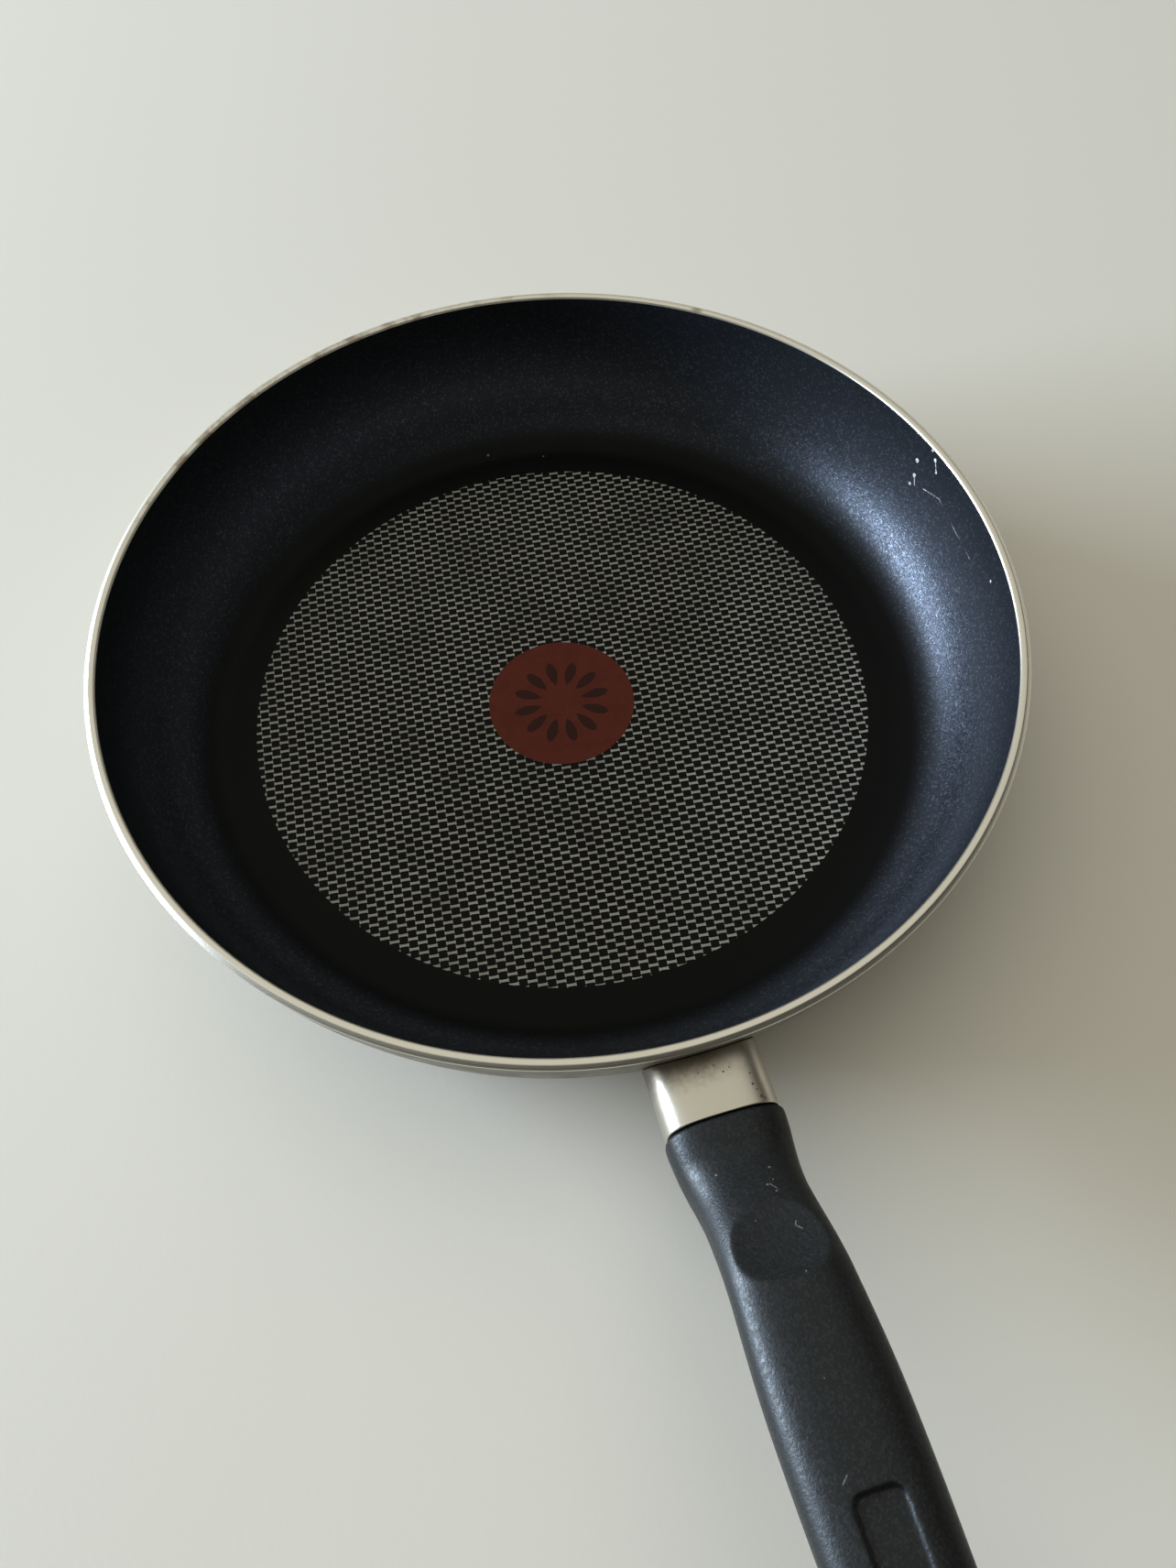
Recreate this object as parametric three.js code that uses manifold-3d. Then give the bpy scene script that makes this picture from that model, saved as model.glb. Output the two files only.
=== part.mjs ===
// A pressed aluminium frying pan, 26 cm across, with a moulded grip on a welded boss, held by one screw.
// Millimetres. The origin is the centre of the base's underside, +Z is up and the handle points along +X.
import * as THREE from "three";
import { mergeVertices } from "three/addons/utils/BufferGeometryUtils.js";
import Module from "manifold-3d";

const wasm = await Module();
wasm.setup();

// Pan: a disc pressed into a bowl, with its rim turned bare
const rimRadius = 130;
const rimLandWidth = 1.7;
const rimBevelWidth = 1.35;
const rimBevelDrop = 0.9;
const panHeight = 47.2;
const baseThickness = 3.3;
const wallThickness = 3;
const baseFlatRadius = 99;
const wallLean = 9;
const cornerReach = 17;
const wallReach = 22;

// Rings turned in the underside
const ringCount = 5;
const ringFirstRadius = 26;
const ringPitch = 13;
const ringWidth = 5;
const ringDepth = 0.5;
const ringSlope = 0.4;

// Boss welded to the wall, which carries the handle
const bossHeight = 31.3;
const handleRise = 4;
const bossPlateWidth = 20;
const bossPlateDepth = 14;
const bossPlateThickness = 2.5;
const bossWidth = 12;
const bossDepth = 10;
const bossLength = 15;
const bossCornerRadius = 1.5;
const threadDepth = 11.5;

// Flame guard: a thin metal sleeve between the wall and the grip
const guardWidth = 28.2;
const guardDepth = 19.2;
const guardLength = 18.4;
const guardSheet = 0.9;
const guardSquareness = 3;

// Grip: rows of distance along its spine from the shoulder, width and depth
const lipWidth = 29.6;
const lipDepth = 20;
const waistDistance = 24.2;
const waistWidth = 25.5;
const waistDepth = 17.4;
const swellDistance = 71.2;
const swellWidth = 29;
const swellDepth = 18.4;
const tailDistance = 157.2;
const tailWidth = 25;
const tailDepth = 15.6;
const neckLength = 6.7;
const bendRun = 36.5;
const bendRise = 15.9;
const bendReach = 11;
const gripRun = 130;
const gripStartSlope = 4.5;
const gripEndSlope = 1;
const endRound = 13;
const endBluntness = 0.62;
const lipRound = 1.1;
const gripSquareness = 2.75;
const tenonLength = 9;

// Thumb dish, sunk panel and hanging hole in the grip
const dishDistance = 39.7;
const dishReach = 15;
const dishBreadth = 26;
const dishCurve = 6;
const dishDepth = 2.5;
const panelDistance = 87.2;
const panelLength = 46;
const panelWidth = 10.6;
const panelDepth = 0.8;
const panelCornerRadius = 2.4;
const holeLength = 20;
const holeWidth = 9;
const holeEdge = 7.5;

// Screw and washer
const screwRadius = 2.4;
const screwHeadRadius = 4.5;
const screwHeadHeight = 3.2;
const screwWeb = 12.7;
const screwSlotWidth = 1.1;
const screwSlotDepth = 1.6;
const washerRadius = 5;
const washerThickness = 1;

// Clearances
const seatGap = 0.3;
const boreGap = 0.35;

// Fineness of the faceted solids
const turnedSides = 72;
const wallSteps = 10;
const sectionSides = 32;
const bendSteps = 12;
const gripSteps = 14;
const endSteps = 6;
const lipSteps = 3;
const smallSides = 20;

const radians = THREE.MathUtils.degToRad;

// Closed geometry as a solid that can be joined and cut.
function solid(geometry) {
  const bare = geometry.index ? geometry.toNonIndexed() : geometry.clone();
  bare.deleteAttribute("normal");
  bare.deleteAttribute("uv");
  const merged = mergeVertices(bare, 1e-4);
  const corners = merged.index.array;
  const kept = [];
  for (let i = 0; i < corners.length; i += 3) {
    const [a, b, c] = corners.slice(i, i + 3);
    if (a !== b && b !== c && c !== a) kept.push(a, b, c);
  }
  return new wasm.Manifold(
    new wasm.Mesh({
      numProp: 3,
      vertProperties: merged.attributes.position.array,
      triVerts: new Uint32Array(kept),
    }),
  );
}

// A solid as geometry, with flat faces.
function geometryOf(made) {
  const mesh = made.getMesh();
  const geometry = new THREE.BufferGeometry();
  const position = new THREE.BufferAttribute(mesh.vertProperties, mesh.numProp);
  geometry.setAttribute("position", position);
  geometry.setIndex(new THREE.BufferAttribute(mesh.triVerts, 1));
  const flat = geometry.toNonIndexed();
  flat.computeVertexNormals();
  return flat;
}

// A profile of [radius, height] pairs turned about the Z axis.
function turned(profile, sides = turnedSides) {
  const points = profile.map(([r, z]) => new THREE.Vector2(r, z));
  return new THREE.LatheGeometry(points, sides).rotateX(Math.PI / 2);
}

// A turned shape laid along the X axis, its heights becoming distances along X.
function turnedAlongX(profile) {
  return turned(profile, smallSides).rotateY(Math.PI / 2);
}

// A skin through rings of as many points each, closed by a fan at both ends.
function loft(rings) {
  const sides = rings[0].length;
  const points = rings.flat();
  const middle = (ring) =>
    ring.reduce((sum, p) => sum.add(p), new THREE.Vector3()).divideScalar(sides);
  const first = points.push(middle(rings[0])) - 1;
  const last = points.push(middle(rings.at(-1))) - 1;
  const faces = [];
  for (let j = 0; j < sides; j++) {
    const next = (j + 1) % sides;
    for (let i = 0; i + 1 < rings.length; i++) {
      const a = i * sides + j;
      const b = i * sides + next;
      faces.push(a, b, b + sides, a, b + sides, a + sides);
    }
    const end = (rings.length - 1) * sides;
    faces.push(first, next, j, last, end + j, end + next);
  }
  const geometry = new THREE.BufferGeometry().setFromPoints(points);
  return geometry.setIndex(faces);
}

// One ring of a rounded section, square to the spine at a point where it climbs by a slope.
function ring(x, z, slope, width, depth, squareness) {
  const power = 2 / squareness;
  const bulge = (v) => Math.sign(v) * Math.abs(v) ** power;
  return Array.from({ length: sectionSides }, (_, i) => {
    const turn = (2 * Math.PI * i) / sectionSides;
    const across = (width / 2) * bulge(Math.cos(turn));
    const up = (depth / 2) * bulge(Math.sin(turn));
    return new THREE.Vector3(x - up * Math.sin(slope), across, z + up * Math.cos(slope));
  });
}

// A rounded rectangle about the origin.
function roundedRectangle(length, width, radius) {
  const x = length / 2 - radius;
  const y = width / 2 - radius;
  const outline = new THREE.Shape();
  outline.absarc(x, -y, radius, -Math.PI / 2, 0);
  outline.absarc(x, y, radius, 0, Math.PI / 2);
  outline.absarc(-x, y, radius, Math.PI / 2, Math.PI);
  outline.absarc(-x, -y, radius, Math.PI, 1.5 * Math.PI);
  return outline;
}

function extruded(outline, height) {
  const settings = { depth: height, bevelEnabled: false, curveSegments: 5 };
  return new THREE.ExtrudeGeometry(outline, settings);
}

// A bar of rounded section along X, from one distance to another.
function barAlongX(width, depth, radius, from, to) {
  const bar = extruded(roundedRectangle(depth, width, radius), to - from);
  return bar.rotateY(Math.PI / 2).translate(from, 0, 0);
}

// Pan wall: a curve from the flat base up to the rim, and the same curve pushed out by the metal

const rimInnerRadius = rimRadius - rimLandWidth - rimBevelWidth;

function wallCurve() {
  const lean = radians(wallLean);
  const foot = new THREE.Vector2(baseFlatRadius, baseThickness);
  const top = new THREE.Vector2(rimInnerRadius, panHeight);
  const footPull = foot.clone().add(new THREE.Vector2(cornerReach, 0));
  const topPull = new THREE.Vector2(Math.sin(lean), Math.cos(lean));
  topPull.multiplyScalar(-wallReach).add(top);
  return new THREE.CubicBezierCurve(foot, footPull, topPull, top);
}

function wallPoints(pushed) {
  const curve = wallCurve();
  return Array.from({ length: wallSteps + 1 }, (_, i) => {
    const t = i / wallSteps;
    const point = curve.getPoint(t);
    const along = curve.getTangent(t);
    const metal = pushed ? THREE.MathUtils.lerp(baseThickness, wallThickness, t) + pushed.gap : 0;
    return [point.x + along.y * metal, point.y - along.x * metal];
  });
}

const innerWall = wallPoints(null);
const outerWall = wallPoints({ gap: 0 });

function undersideRings() {
  const points = [];
  for (let i = 0; i < ringCount; i++) {
    const start = ringFirstRadius + i * ringPitch;
    const end = start + ringWidth;
    points.push([start, 0], [start + ringSlope, ringDepth]);
    points.push([end - ringSlope, ringDepth], [end, 0]);
  }
  return points;
}

function panBody() {
  const bevelFoot = [rimRadius, panHeight - rimBevelDrop];
  const landEdge = [rimInnerRadius + rimLandWidth, panHeight];
  const outside = outerWall.filter(([, z]) => z < bevelFoot[1] - seatGap);
  const inside = innerWall.toReversed();
  return turned([
    [0, 0],
    ...undersideRings(),
    ...outside,
    bevelFoot,
    landEdge,
    ...inside,
    [0, baseThickness],
  ]);
}

// The outside of the pan as a plug, a little larger, to cut what meets the wall.
function panPlug(gap) {
  const skin = wallPoints({ gap });
  const top = panHeight + wallThickness;
  const [foot, lip] = [skin[0][0], skin.at(-1)[0]];
  return turned([[0, -gap - 1], [foot, -gap - 1], ...skin, [lip, top], [0, top]]);
}

// Handle frame: its X axis is the axis of boss, guard and screw, from the wall outwards

function wallRadiusAt(height) {
  const above = outerWall.findIndex(([, z]) => z > height);
  const [r0, z0] = outerWall[above - 1];
  const [r1, z1] = outerWall[above];
  return r0 + ((r1 - r0) * (height - z0)) / (z1 - z0);
}

const handle = new THREE.Group();
handle.name = "handle";
handle.position.set(wallRadiusAt(bossHeight), 0, bossHeight);
handle.rotation.y = -radians(handleRise);
handle.updateMatrix();

const plug = solid(panPlug(seatGap).applyMatrix4(handle.matrix.clone().invert()));

const insideWall = -wallThickness;
const shoulder = guardLength + seatGap;

function weldedBoss() {
  const plate = barAlongX(
    bossPlateWidth,
    bossPlateDepth,
    bossCornerRadius,
    insideWall,
    seatGap + bossPlateThickness,
  );
  const block = barAlongX(bossWidth, bossDepth, bossCornerRadius, insideWall, bossLength);
  const thread = turnedAlongX([
    [0, bossLength - threadDepth],
    [screwRadius + boreGap, bossLength - threadDepth],
    [screwRadius + boreGap, bossLength + 1],
    [0, bossLength + 1],
  ]);
  return geometryOf(solid(plate).add(solid(block)).subtract(plug).subtract(solid(thread)));
}

function guardSkin(inset, from, to) {
  const width = guardWidth - 2 * inset;
  const depth = guardDepth - 2 * inset;
  return solid(loft([from, to].map((x) => ring(x, 0, 0, width, depth, guardSquareness))));
}

function flameGuard() {
  const reachBack = 3 * wallThickness;
  const outside = guardSkin(0, -reachBack, guardLength);
  const inside = guardSkin(guardSheet, -reachBack - 1, guardLength + 1);
  return geometryOf(outside.subtract(inside).subtract(plug));
}

// Grip spine: straight through the neck, an S-bend upwards, then a long shallow arch

function spinePoints() {
  const bendStart = new THREE.Vector2(shoulder + neckLength, 0);
  const bendEnd = new THREE.Vector2(bendStart.x + bendRun, bendRise);
  const startSlope = radians(gripStartSlope);
  const endSlope = radians(gripEndSlope);
  const outOfBend = new THREE.Vector2(Math.cos(startSlope), Math.sin(startSlope));
  const crown = bendEnd.clone().addScaledVector(outOfBend, gripRun / 2);
  const tip = new THREE.Vector2(Math.cos(endSlope), Math.sin(endSlope));
  tip.multiplyScalar(gripRun / 2).add(crown);
  const bend = new THREE.CubicBezierCurve(
    bendStart,
    new THREE.Vector2(bendStart.x + bendReach, 0),
    bendEnd.clone().addScaledVector(outOfBend, -bendReach),
    bendEnd,
  );
  const arch = new THREE.QuadraticBezierCurve(bendEnd, crown, tip);
  return { bend, arch, length: neckLength + bend.getLength() + arch.getLength() };
}

const spine = spinePoints();

// Where the spine is at a distance from the shoulder, and how steeply it climbs there.
function spineAt(distance) {
  const bendLength = spine.bend.getLength();
  if (distance <= neckLength) return { x: shoulder + distance, z: 0, slope: 0 };
  const onBend = (distance - neckLength) / bendLength;
  const onArch = (distance - neckLength - bendLength) / spine.arch.getLength();
  const [curve, share] = onBend < 1 ? [spine.bend, onBend] : [spine.arch, Math.min(onArch, 1)];
  const point = curve.getPointAt(share);
  const along = curve.getTangentAt(share);
  return { x: point.x, z: point.y, slope: Math.atan2(along.y, along.x) };
}

// A size that changes smoothly from one station to the next.
function sizeAt(stations, distance) {
  const next = stations.findIndex(([at]) => at > distance);
  if (next === -1) return stations.at(-1)[1];
  const [[from, low], [to, high]] = [stations[next - 1], stations[next]];
  return THREE.MathUtils.lerp(low, high, THREE.MathUtils.smoothstep(distance, from, to));
}

const widthStations = [
  [0, lipWidth],
  [waistDistance, waistWidth],
  [swellDistance, swellWidth],
  [tailDistance, tailWidth],
];
const depthStations = [
  [0, lipDepth],
  [waistDistance, waistDepth],
  [swellDistance, swellDepth],
  [tailDistance, tailDepth],
];

function gripRing(distance, inset, endShare) {
  const { x, z, slope } = spineAt(distance);
  const roundness = Math.sqrt(1 - endShare ** 2);
  const bluntness = THREE.MathUtils.lerp(1, roundness, endBluntness);
  const width = (sizeAt(widthStations, distance) - 2 * inset) * roundness;
  const depth = (sizeAt(depthStations, distance) - 2 * inset) * bluntness;
  return ring(x, z, slope, width, depth, gripSquareness);
}

function gripSkin() {
  const rings = [];
  for (let i = 0; i < lipSteps; i++) {
    const turn = (i / lipSteps) * (Math.PI / 2);
    const inset = lipRound * (1 - Math.sin(turn));
    rings.push(gripRing(lipRound * (1 - Math.cos(turn)), inset, 0));
  }
  const bendStop = neckLength + spine.bend.getLength();
  const roundStart = spine.length - endRound;
  for (let i = 0; i < bendSteps; i++) {
    rings.push(gripRing(THREE.MathUtils.lerp(lipRound, bendStop, i / bendSteps), 0, 0));
  }
  for (let i = 0; i < gripSteps; i++) {
    rings.push(gripRing(THREE.MathUtils.lerp(bendStop, roundStart, i / gripSteps), 0, 0));
  }
  for (let i = 0; i <= endSteps; i++) {
    const share = Math.sin(((i / endSteps) * Math.PI) / 2.15);
    rings.push(gripRing(roundStart + endRound * share, 0, share));
  }
  return loft(rings);
}

// Cutters in the grip's top are placed on its crown, level with the spine there.
function onCrown(geometry, distance, sink) {
  const { x, z, slope } = spineAt(distance);
  const up = sizeAt(depthStations, distance) / 2 - sink;
  geometry.rotateY(-slope);
  return geometry.translate(x - up * Math.sin(slope), 0, z + up * Math.cos(slope));
}

function thumbDish() {
  const bowl = new THREE.SphereGeometry(1, 28, 18).rotateX(Math.PI / 2);
  bowl.scale(dishReach, dishBreadth, dishCurve).translate(0, 0, dishCurve);
  return onCrown(bowl, dishDistance, dishDepth);
}

function sunkPanel() {
  const outline = roundedRectangle(panelLength, panelWidth, panelCornerRadius);
  const cutter = extruded(outline, lipDepth);
  return onCrown(cutter, panelDistance + panelLength / 2, panelDepth);
}

const holeDistance = () => spine.length - holeEdge - holeLength / 2;

function hangingHole() {
  const outline = roundedRectangle(holeLength, holeWidth, holeWidth / 2);
  const cutter = extruded(outline, 3 * tailDepth).translate(0, 0, -1.5 * tailDepth);
  return onCrown(cutter, holeDistance(), tailDepth / 2);
}

const screwSeat = shoulder + screwWeb;

// The way in for the screw: a well from below the bend, a narrow bore and a pocket for the boss.
function screwWay() {
  const wellRadius = washerRadius + boreGap;
  const boreRadius = screwRadius + boreGap;
  const wellEnd = screwSeat + bendRun + neckLength;
  const pocketEnd = bossLength + seatGap;
  const well = turnedAlongX([
    [0, pocketEnd - 1],
    [boreRadius, pocketEnd - 1],
    [boreRadius, screwSeat],
    [wellRadius, screwSeat],
    [wellRadius, wellEnd],
    [0, wellEnd],
  ]);
  const pocket = barAlongX(
    bossWidth + 2 * seatGap,
    bossDepth + 2 * seatGap,
    bossCornerRadius + seatGap,
    shoulder - tenonLength - 1,
    pocketEnd,
  );
  return solid(well).add(solid(pocket));
}

function grip() {
  const tenonInset = guardSheet + seatGap;
  const tenon = guardSkin(tenonInset, shoulder - tenonLength, shoulder + lipRound);
  const moulding = solid(gripSkin()).add(tenon).subtract(screwWay());
  const cutters = [thumbDish(), sunkPanel(), hangingHole()];
  return geometryOf(cutters.reduce((left, cutter) => left.subtract(solid(cutter)), moulding));
}

function washer() {
  const [near, far] = [screwSeat + seatGap, screwSeat + seatGap + washerThickness];
  const hole = screwRadius + boreGap;
  return turnedAlongX([
    [hole, near],
    [washerRadius, near],
    [washerRadius, far],
    [hole, far],
    [hole, near],
  ]);
}

function screw() {
  const headSeat = screwSeat + washerThickness + 2 * seatGap;
  const headTop = headSeat + screwHeadHeight;
  const tip = bossLength - threadDepth + 1;
  const body = turnedAlongX([
    [0, tip],
    [screwRadius * 0.6, tip],
    [screwRadius, tip + screwRadius * 0.4],
    [screwRadius, headSeat],
    [screwHeadRadius, headSeat],
    [screwHeadRadius, headTop - screwHeadHeight * 0.45],
    [screwHeadRadius * 0.8, headTop - screwHeadHeight * 0.12],
    [screwHeadRadius * 0.4, headTop],
    [0, headTop],
  ]);
  const slotLength = 1.2 * screwHeadRadius;
  const slot = new THREE.BoxGeometry(2 * screwSlotDepth, slotLength, screwSlotWidth);
  slot.translate(headTop, 0, 0);
  const crossed = slot.clone().rotateX(Math.PI / 2);
  return geometryOf(solid(body).subtract(solid(slot)).subtract(solid(crossed)));
}

// Materials

function finish(color, roughness, metalness) {
  return new THREE.MeshStandardMaterial({ color, roughness, metalness });
}

function piece(name, geometry, material) {
  const mesh = new THREE.Mesh(geometry, material);
  mesh.name = name;
  return mesh;
}

const pan = new THREE.Group();
pan.name = "frying_pan";
pan.add(piece("pan_body", panBody(), finish(0x1c1d20, 0.42, 0.5)));

handle.add(
  piece("welded_boss", weldedBoss(), finish(0xa9a8a2, 0.5, 0.9)),
  piece("flame_guard", flameGuard(), finish(0xb5ad9b, 0.32, 1)),
  piece("grip", grip(), finish(0x1a1b1e, 0.48, 0)),
  piece("washer", washer(), finish(0xa5a6a6, 0.4, 1)),
  piece("screw", screw(), finish(0x9c9d9e, 0.35, 1)),
);
pan.add(handle);

export default pan;
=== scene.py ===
import math

import bpy
from mathutils import Matrix, Vector


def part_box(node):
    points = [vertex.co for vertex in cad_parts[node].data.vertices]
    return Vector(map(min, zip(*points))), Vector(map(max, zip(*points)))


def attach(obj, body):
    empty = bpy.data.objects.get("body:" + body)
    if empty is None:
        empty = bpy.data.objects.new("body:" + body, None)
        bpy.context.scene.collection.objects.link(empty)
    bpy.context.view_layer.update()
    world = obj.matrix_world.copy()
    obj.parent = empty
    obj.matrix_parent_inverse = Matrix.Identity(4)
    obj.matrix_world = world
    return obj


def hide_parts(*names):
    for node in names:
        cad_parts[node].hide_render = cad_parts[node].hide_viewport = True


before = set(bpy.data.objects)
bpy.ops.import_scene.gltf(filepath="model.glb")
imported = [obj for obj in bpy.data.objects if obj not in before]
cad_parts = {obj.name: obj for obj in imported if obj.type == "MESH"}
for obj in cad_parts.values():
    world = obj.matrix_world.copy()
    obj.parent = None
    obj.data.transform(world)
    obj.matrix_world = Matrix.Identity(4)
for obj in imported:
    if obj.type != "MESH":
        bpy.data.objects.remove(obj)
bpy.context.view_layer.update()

bl_info = {
    "name": "Worn frying pan",
    "version": (1, 0, 0),
    "blender": (4, 5, 0),
    "location": "3D View > Sidebar > Frying pan",
    "description": "Dresses the solids of a pressed frying pan with its coating, print, metal and grip",
    "category": "Object",
}

PAN_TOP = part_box("pan_body")[1]
MM = 0.001
FULL_TURN = 2 * math.pi
QUARTER_TURN = math.pi / 2
UP = (0, 0, 1)
WELD = 0.001 * MM


def srgb(red, green, blue):
    """A colour given as it looks on a screen, 0 to 255, as Blender's linear numbers."""

    def linear(level):
        share = level / 255
        return share / 12.92 if share <= 0.04045 else ((share + 0.055) / 1.055) ** 2.4

    return (linear(red), linear(green), linear(blue))


def size(name, description, millimetres):
    """A length that a user can change."""
    return bpy.props.FloatProperty(
        name=name, description=description, default=millimetres * MM, unit="LENGTH", precision=5
    )


def turn(name, description, degrees):
    """An angle that a user can change."""
    return bpy.props.FloatProperty(
        name=name, description=description, default=math.radians(degrees), unit="ROTATION"
    )


def number(name, description, value):
    """A plain number that a user can change."""
    return bpy.props.FloatProperty(name=name, description=description, default=value)


def count(name, description, value):
    """A whole number that a user can change."""
    return bpy.props.IntProperty(name=name, description=description, default=value, min=1)


def colour(name, description, red, green, blue):
    """A colour that a user can change, given as it looks on a screen."""
    return bpy.props.FloatVectorProperty(
        name=name,
        description=description,
        default=srgb(red, green, blue),
        size=3,
        min=0.0,
        max=1.0,
        subtype="COLOR",
    )


class PanSizes(bpy.types.PropertyGroup):
    """The pressed pan and its turned rim"""

    rim_radius: size("Rim radius", "Outer edge of the rim", PAN_TOP.x / MM)
    height: size("Height", "Underside of the base to the top of the rim", PAN_TOP.z / MM)
    land: size("Rim land", "Width of the bare flat on top of the rim", 1.7)
    bevel: size("Rim bevel", "Width of the bare slope outside the land", 1.35)
    bevel_drop: size("Bevel drop", "How far the slope falls", 0.9)
    edge: size("Edge rounding", "Rounding of the outer edges of the rim", 0.2)
    inner_edge: size("Inner rounding", "Rounding of the rim's inner edge, ground bare", 0.75)
    base: size("Base thickness", "Metal in the base", 3.3)
    wall: size("Wall thickness", "Metal at the rim", 3.0)
    flat_radius: size("Flat radius", "Where the flat base ends", 99)
    lean: turn("Wall lean", "How far the wall leans out at the rim", 9)
    corner_reach: size("Corner reach", "Pull of the curve at the foot of the wall", 17)
    wall_reach: size("Wall reach", "Pull of the curve at the rim", 22)
    ring_count: count("Rings", "Rings turned in the underside", 5)
    ring_first: size("First ring", "Radius of the smallest ring", 26)
    ring_pitch: size("Ring pitch", "From one ring to the next", 13)
    ring_width: size("Ring width", "Width of a ring", 5)
    ring_depth: size("Ring depth", "Depth of a ring", 0.5)
    ring_slope: size("Ring slope", "Width of a ring's sloping side", 0.4)
    wall_steps: count("Wall steps", "Steps along the wall's curve", 30)
    turned_steps: count("Turned steps", "Steps of the spin", 288)


class PrintSizes(bpy.types.PropertyGroup):
    """The lattice and the round spot printed on the base"""

    radius: size("Print radius", "Edge of the lattice", 92.6)
    spot_radius: size("Spot radius", "Edge of the round spot", 22.1)
    turned: turn("Print turn", "How far the lattice is turned from the handle", -6)
    row_pitch: size("Row pitch", "From one row of bars to the next", 1.542)
    bar_pitch: size("Bar pitch", "From one bar to the next in a row", 5.12)
    bar_length: size("Bar length", "Length of a bar", 2.7)
    bar_waist: size("Bar waist", "Width of a bar in its middle", 0.72)
    bar_end: size("Bar end", "Width of a bar at its ends", 1.04)
    film: size("Film", "How proud the bars stand", 0.035)
    square_long: size("Square length", "Length of the dark square between bars", 1.9)
    square_wide: size("Square width", "Width of the dark square between bars", 1.5)
    petals: count("Petals", "Petals of the rosette in the spot", 12)


class HandleSizes(bpy.types.PropertyGroup):
    """The guard and the grip, along the axis of the boss"""

    height: size("Boss height", "Height of the axis at the wall", 31.3)
    rise: turn("Handle rise", "How steeply the axis climbs", 4)
    guard_width: size("Guard width", "Across the sleeve", 28.2)
    guard_depth: size("Guard depth", "Top to bottom of the sleeve", 19.2)
    guard_length: size("Guard length", "Wall to the grip's lip", 18.4)
    guard_sheet: size("Guard sheet", "Metal in the sleeve", 0.9)
    guard_square: number("Guard squareness", "2 is an oval, more is squarer", 3)
    seat_gap: size("Seat gap", "Gap between pieces that meet", 0.3)
    neck: size("Neck", "Straight stretch before the bend", 6.7)
    bend_run: size("Bend run", "Length of the bend along the axis", 36.5)
    bend_rise: size("Bend rise", "Height gained in the bend", 15.9)
    bend_reach: size("Bend reach", "Pull of the curve at both ends of the bend", 11)
    grip_run: size("Grip run", "Length of the arch after the bend", 130)
    start_slope: turn("Start slope", "Climb at the start of the arch", 4.5)
    end_slope: turn("End slope", "Climb at the end of the arch", 1)
    grip_square: number("Grip squareness", "2 is an oval, more is squarer", 2.75)
    tenon: size("Tenon", "How far the grip reaches into the guard", 9)
    lip_round: size("Lip rounding", "Rounding at the grip's lip", 1.1)
    end_round: size("End rounding", "Length of the round end", 13)
    end_blunt: number("End bluntness", "How far the end also thins, 0 to 1", 0.62)


class CutSizes(bpy.types.PropertyGroup):
    """What is cut into the grip"""

    dish_at: size("Dish place", "Lip to the middle of the thumb dish", 39.7)
    dish_reach: size("Dish reach", "Half the length of the dish's cutter", 15)
    dish_breadth: size("Dish breadth", "Half the width of the dish's cutter", 26)
    dish_curve: size("Dish curve", "Half the height of the dish's cutter", 6)
    dish_depth: size("Dish depth", "Depth of the dish", 2.5)
    panel_at: size("Panel place", "Lip to the near end of the panel", 87.2)
    panel_length: size("Panel length", "Length of the sunk panel", 46)
    panel_width: size("Panel width", "Width of the sunk panel", 10.6)
    panel_depth: size("Panel depth", "Depth of the sunk panel", 0.8)
    panel_round: size("Panel rounding", "Rounding of the panel's corners", 2.4)
    hole_length: size("Hole length", "Length of the hanging hole", 20)
    hole_width: size("Hole width", "Width of the hanging hole", 9)
    hole_edge: size("Hole edge", "Hole to the end of the grip", 7.5)
    boss_width: size("Pocket width", "Across the pocket for the boss", 12.6)
    boss_depth: size("Pocket depth", "Top to bottom of the pocket", 10.6)
    boss_length: size("Pocket end", "Wall to the bottom of the pocket", 15.3)
    bore_radius: size("Bore radius", "Way through for the screw", 2.75)
    well_radius: size("Well radius", "Way in for the screw's head", 5.35)
    screw_web: size("Screw web", "Material between the lip and the well", 12.7)
    grain: size("Voxel", "Voxel of the grip's remesh", 0.47)


class Finishes(bpy.types.PropertyGroup):
    """Colours of the finishes"""

    coating: colour("Coating", "Non-stick coating of the floor", 5, 7, 10)
    # Painted sheen: the brighter metallic coat of the ring at the foot of the wall, where the highlight
    # falls; the flakes in it are real
    flaked_sheen: colour("Flaked coating", "Coating of the wall, with metal flakes in it", 76, 82, 93)
    bared: colour("Bared metal", "Where the coating is chipped or scratched", 206, 210, 212)
    sparkle: colour("Sparkle", "Flakes in the coating", 124, 133, 149)
    square: colour("Squares", "Squares between the bars", 11, 12, 14)
    halo: colour("Halo", "Ground round the squares", 3, 3, 3)
    bars: colour("Bars", "Printed bars", 184, 188, 187)
    spot: colour("Spot", "Round spot", 106, 46, 36)
    rosette: colour("Rosette", "Motif in the spot", 60, 30, 26)
    rim: colour("Rim", "Bare turned aluminium", 230, 228, 220)
    outside: colour("Outside", "Enamel outside the wall", 124, 119, 109)
    stain: colour("Stain", "Burnt-on fat", 112, 82, 40)
    guard: colour("Guard", "Satin steel", 212, 209, 200)
    smoke: colour("Smoke", "Heat stain on the guard", 96, 84, 68)
    grip: colour("Grip", "Moulded grip", 8, 9, 12)
    glint: colour("Glint", "Brighter grains in the grip", 60, 63, 68)
    dust: colour("Dust", "Dust and scuffs", 150, 148, 142)
    steel: colour("Plated steel", "Screw and washer", 170, 170, 168)
    table: colour("Table", "Table top", 240, 238, 231)


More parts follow.
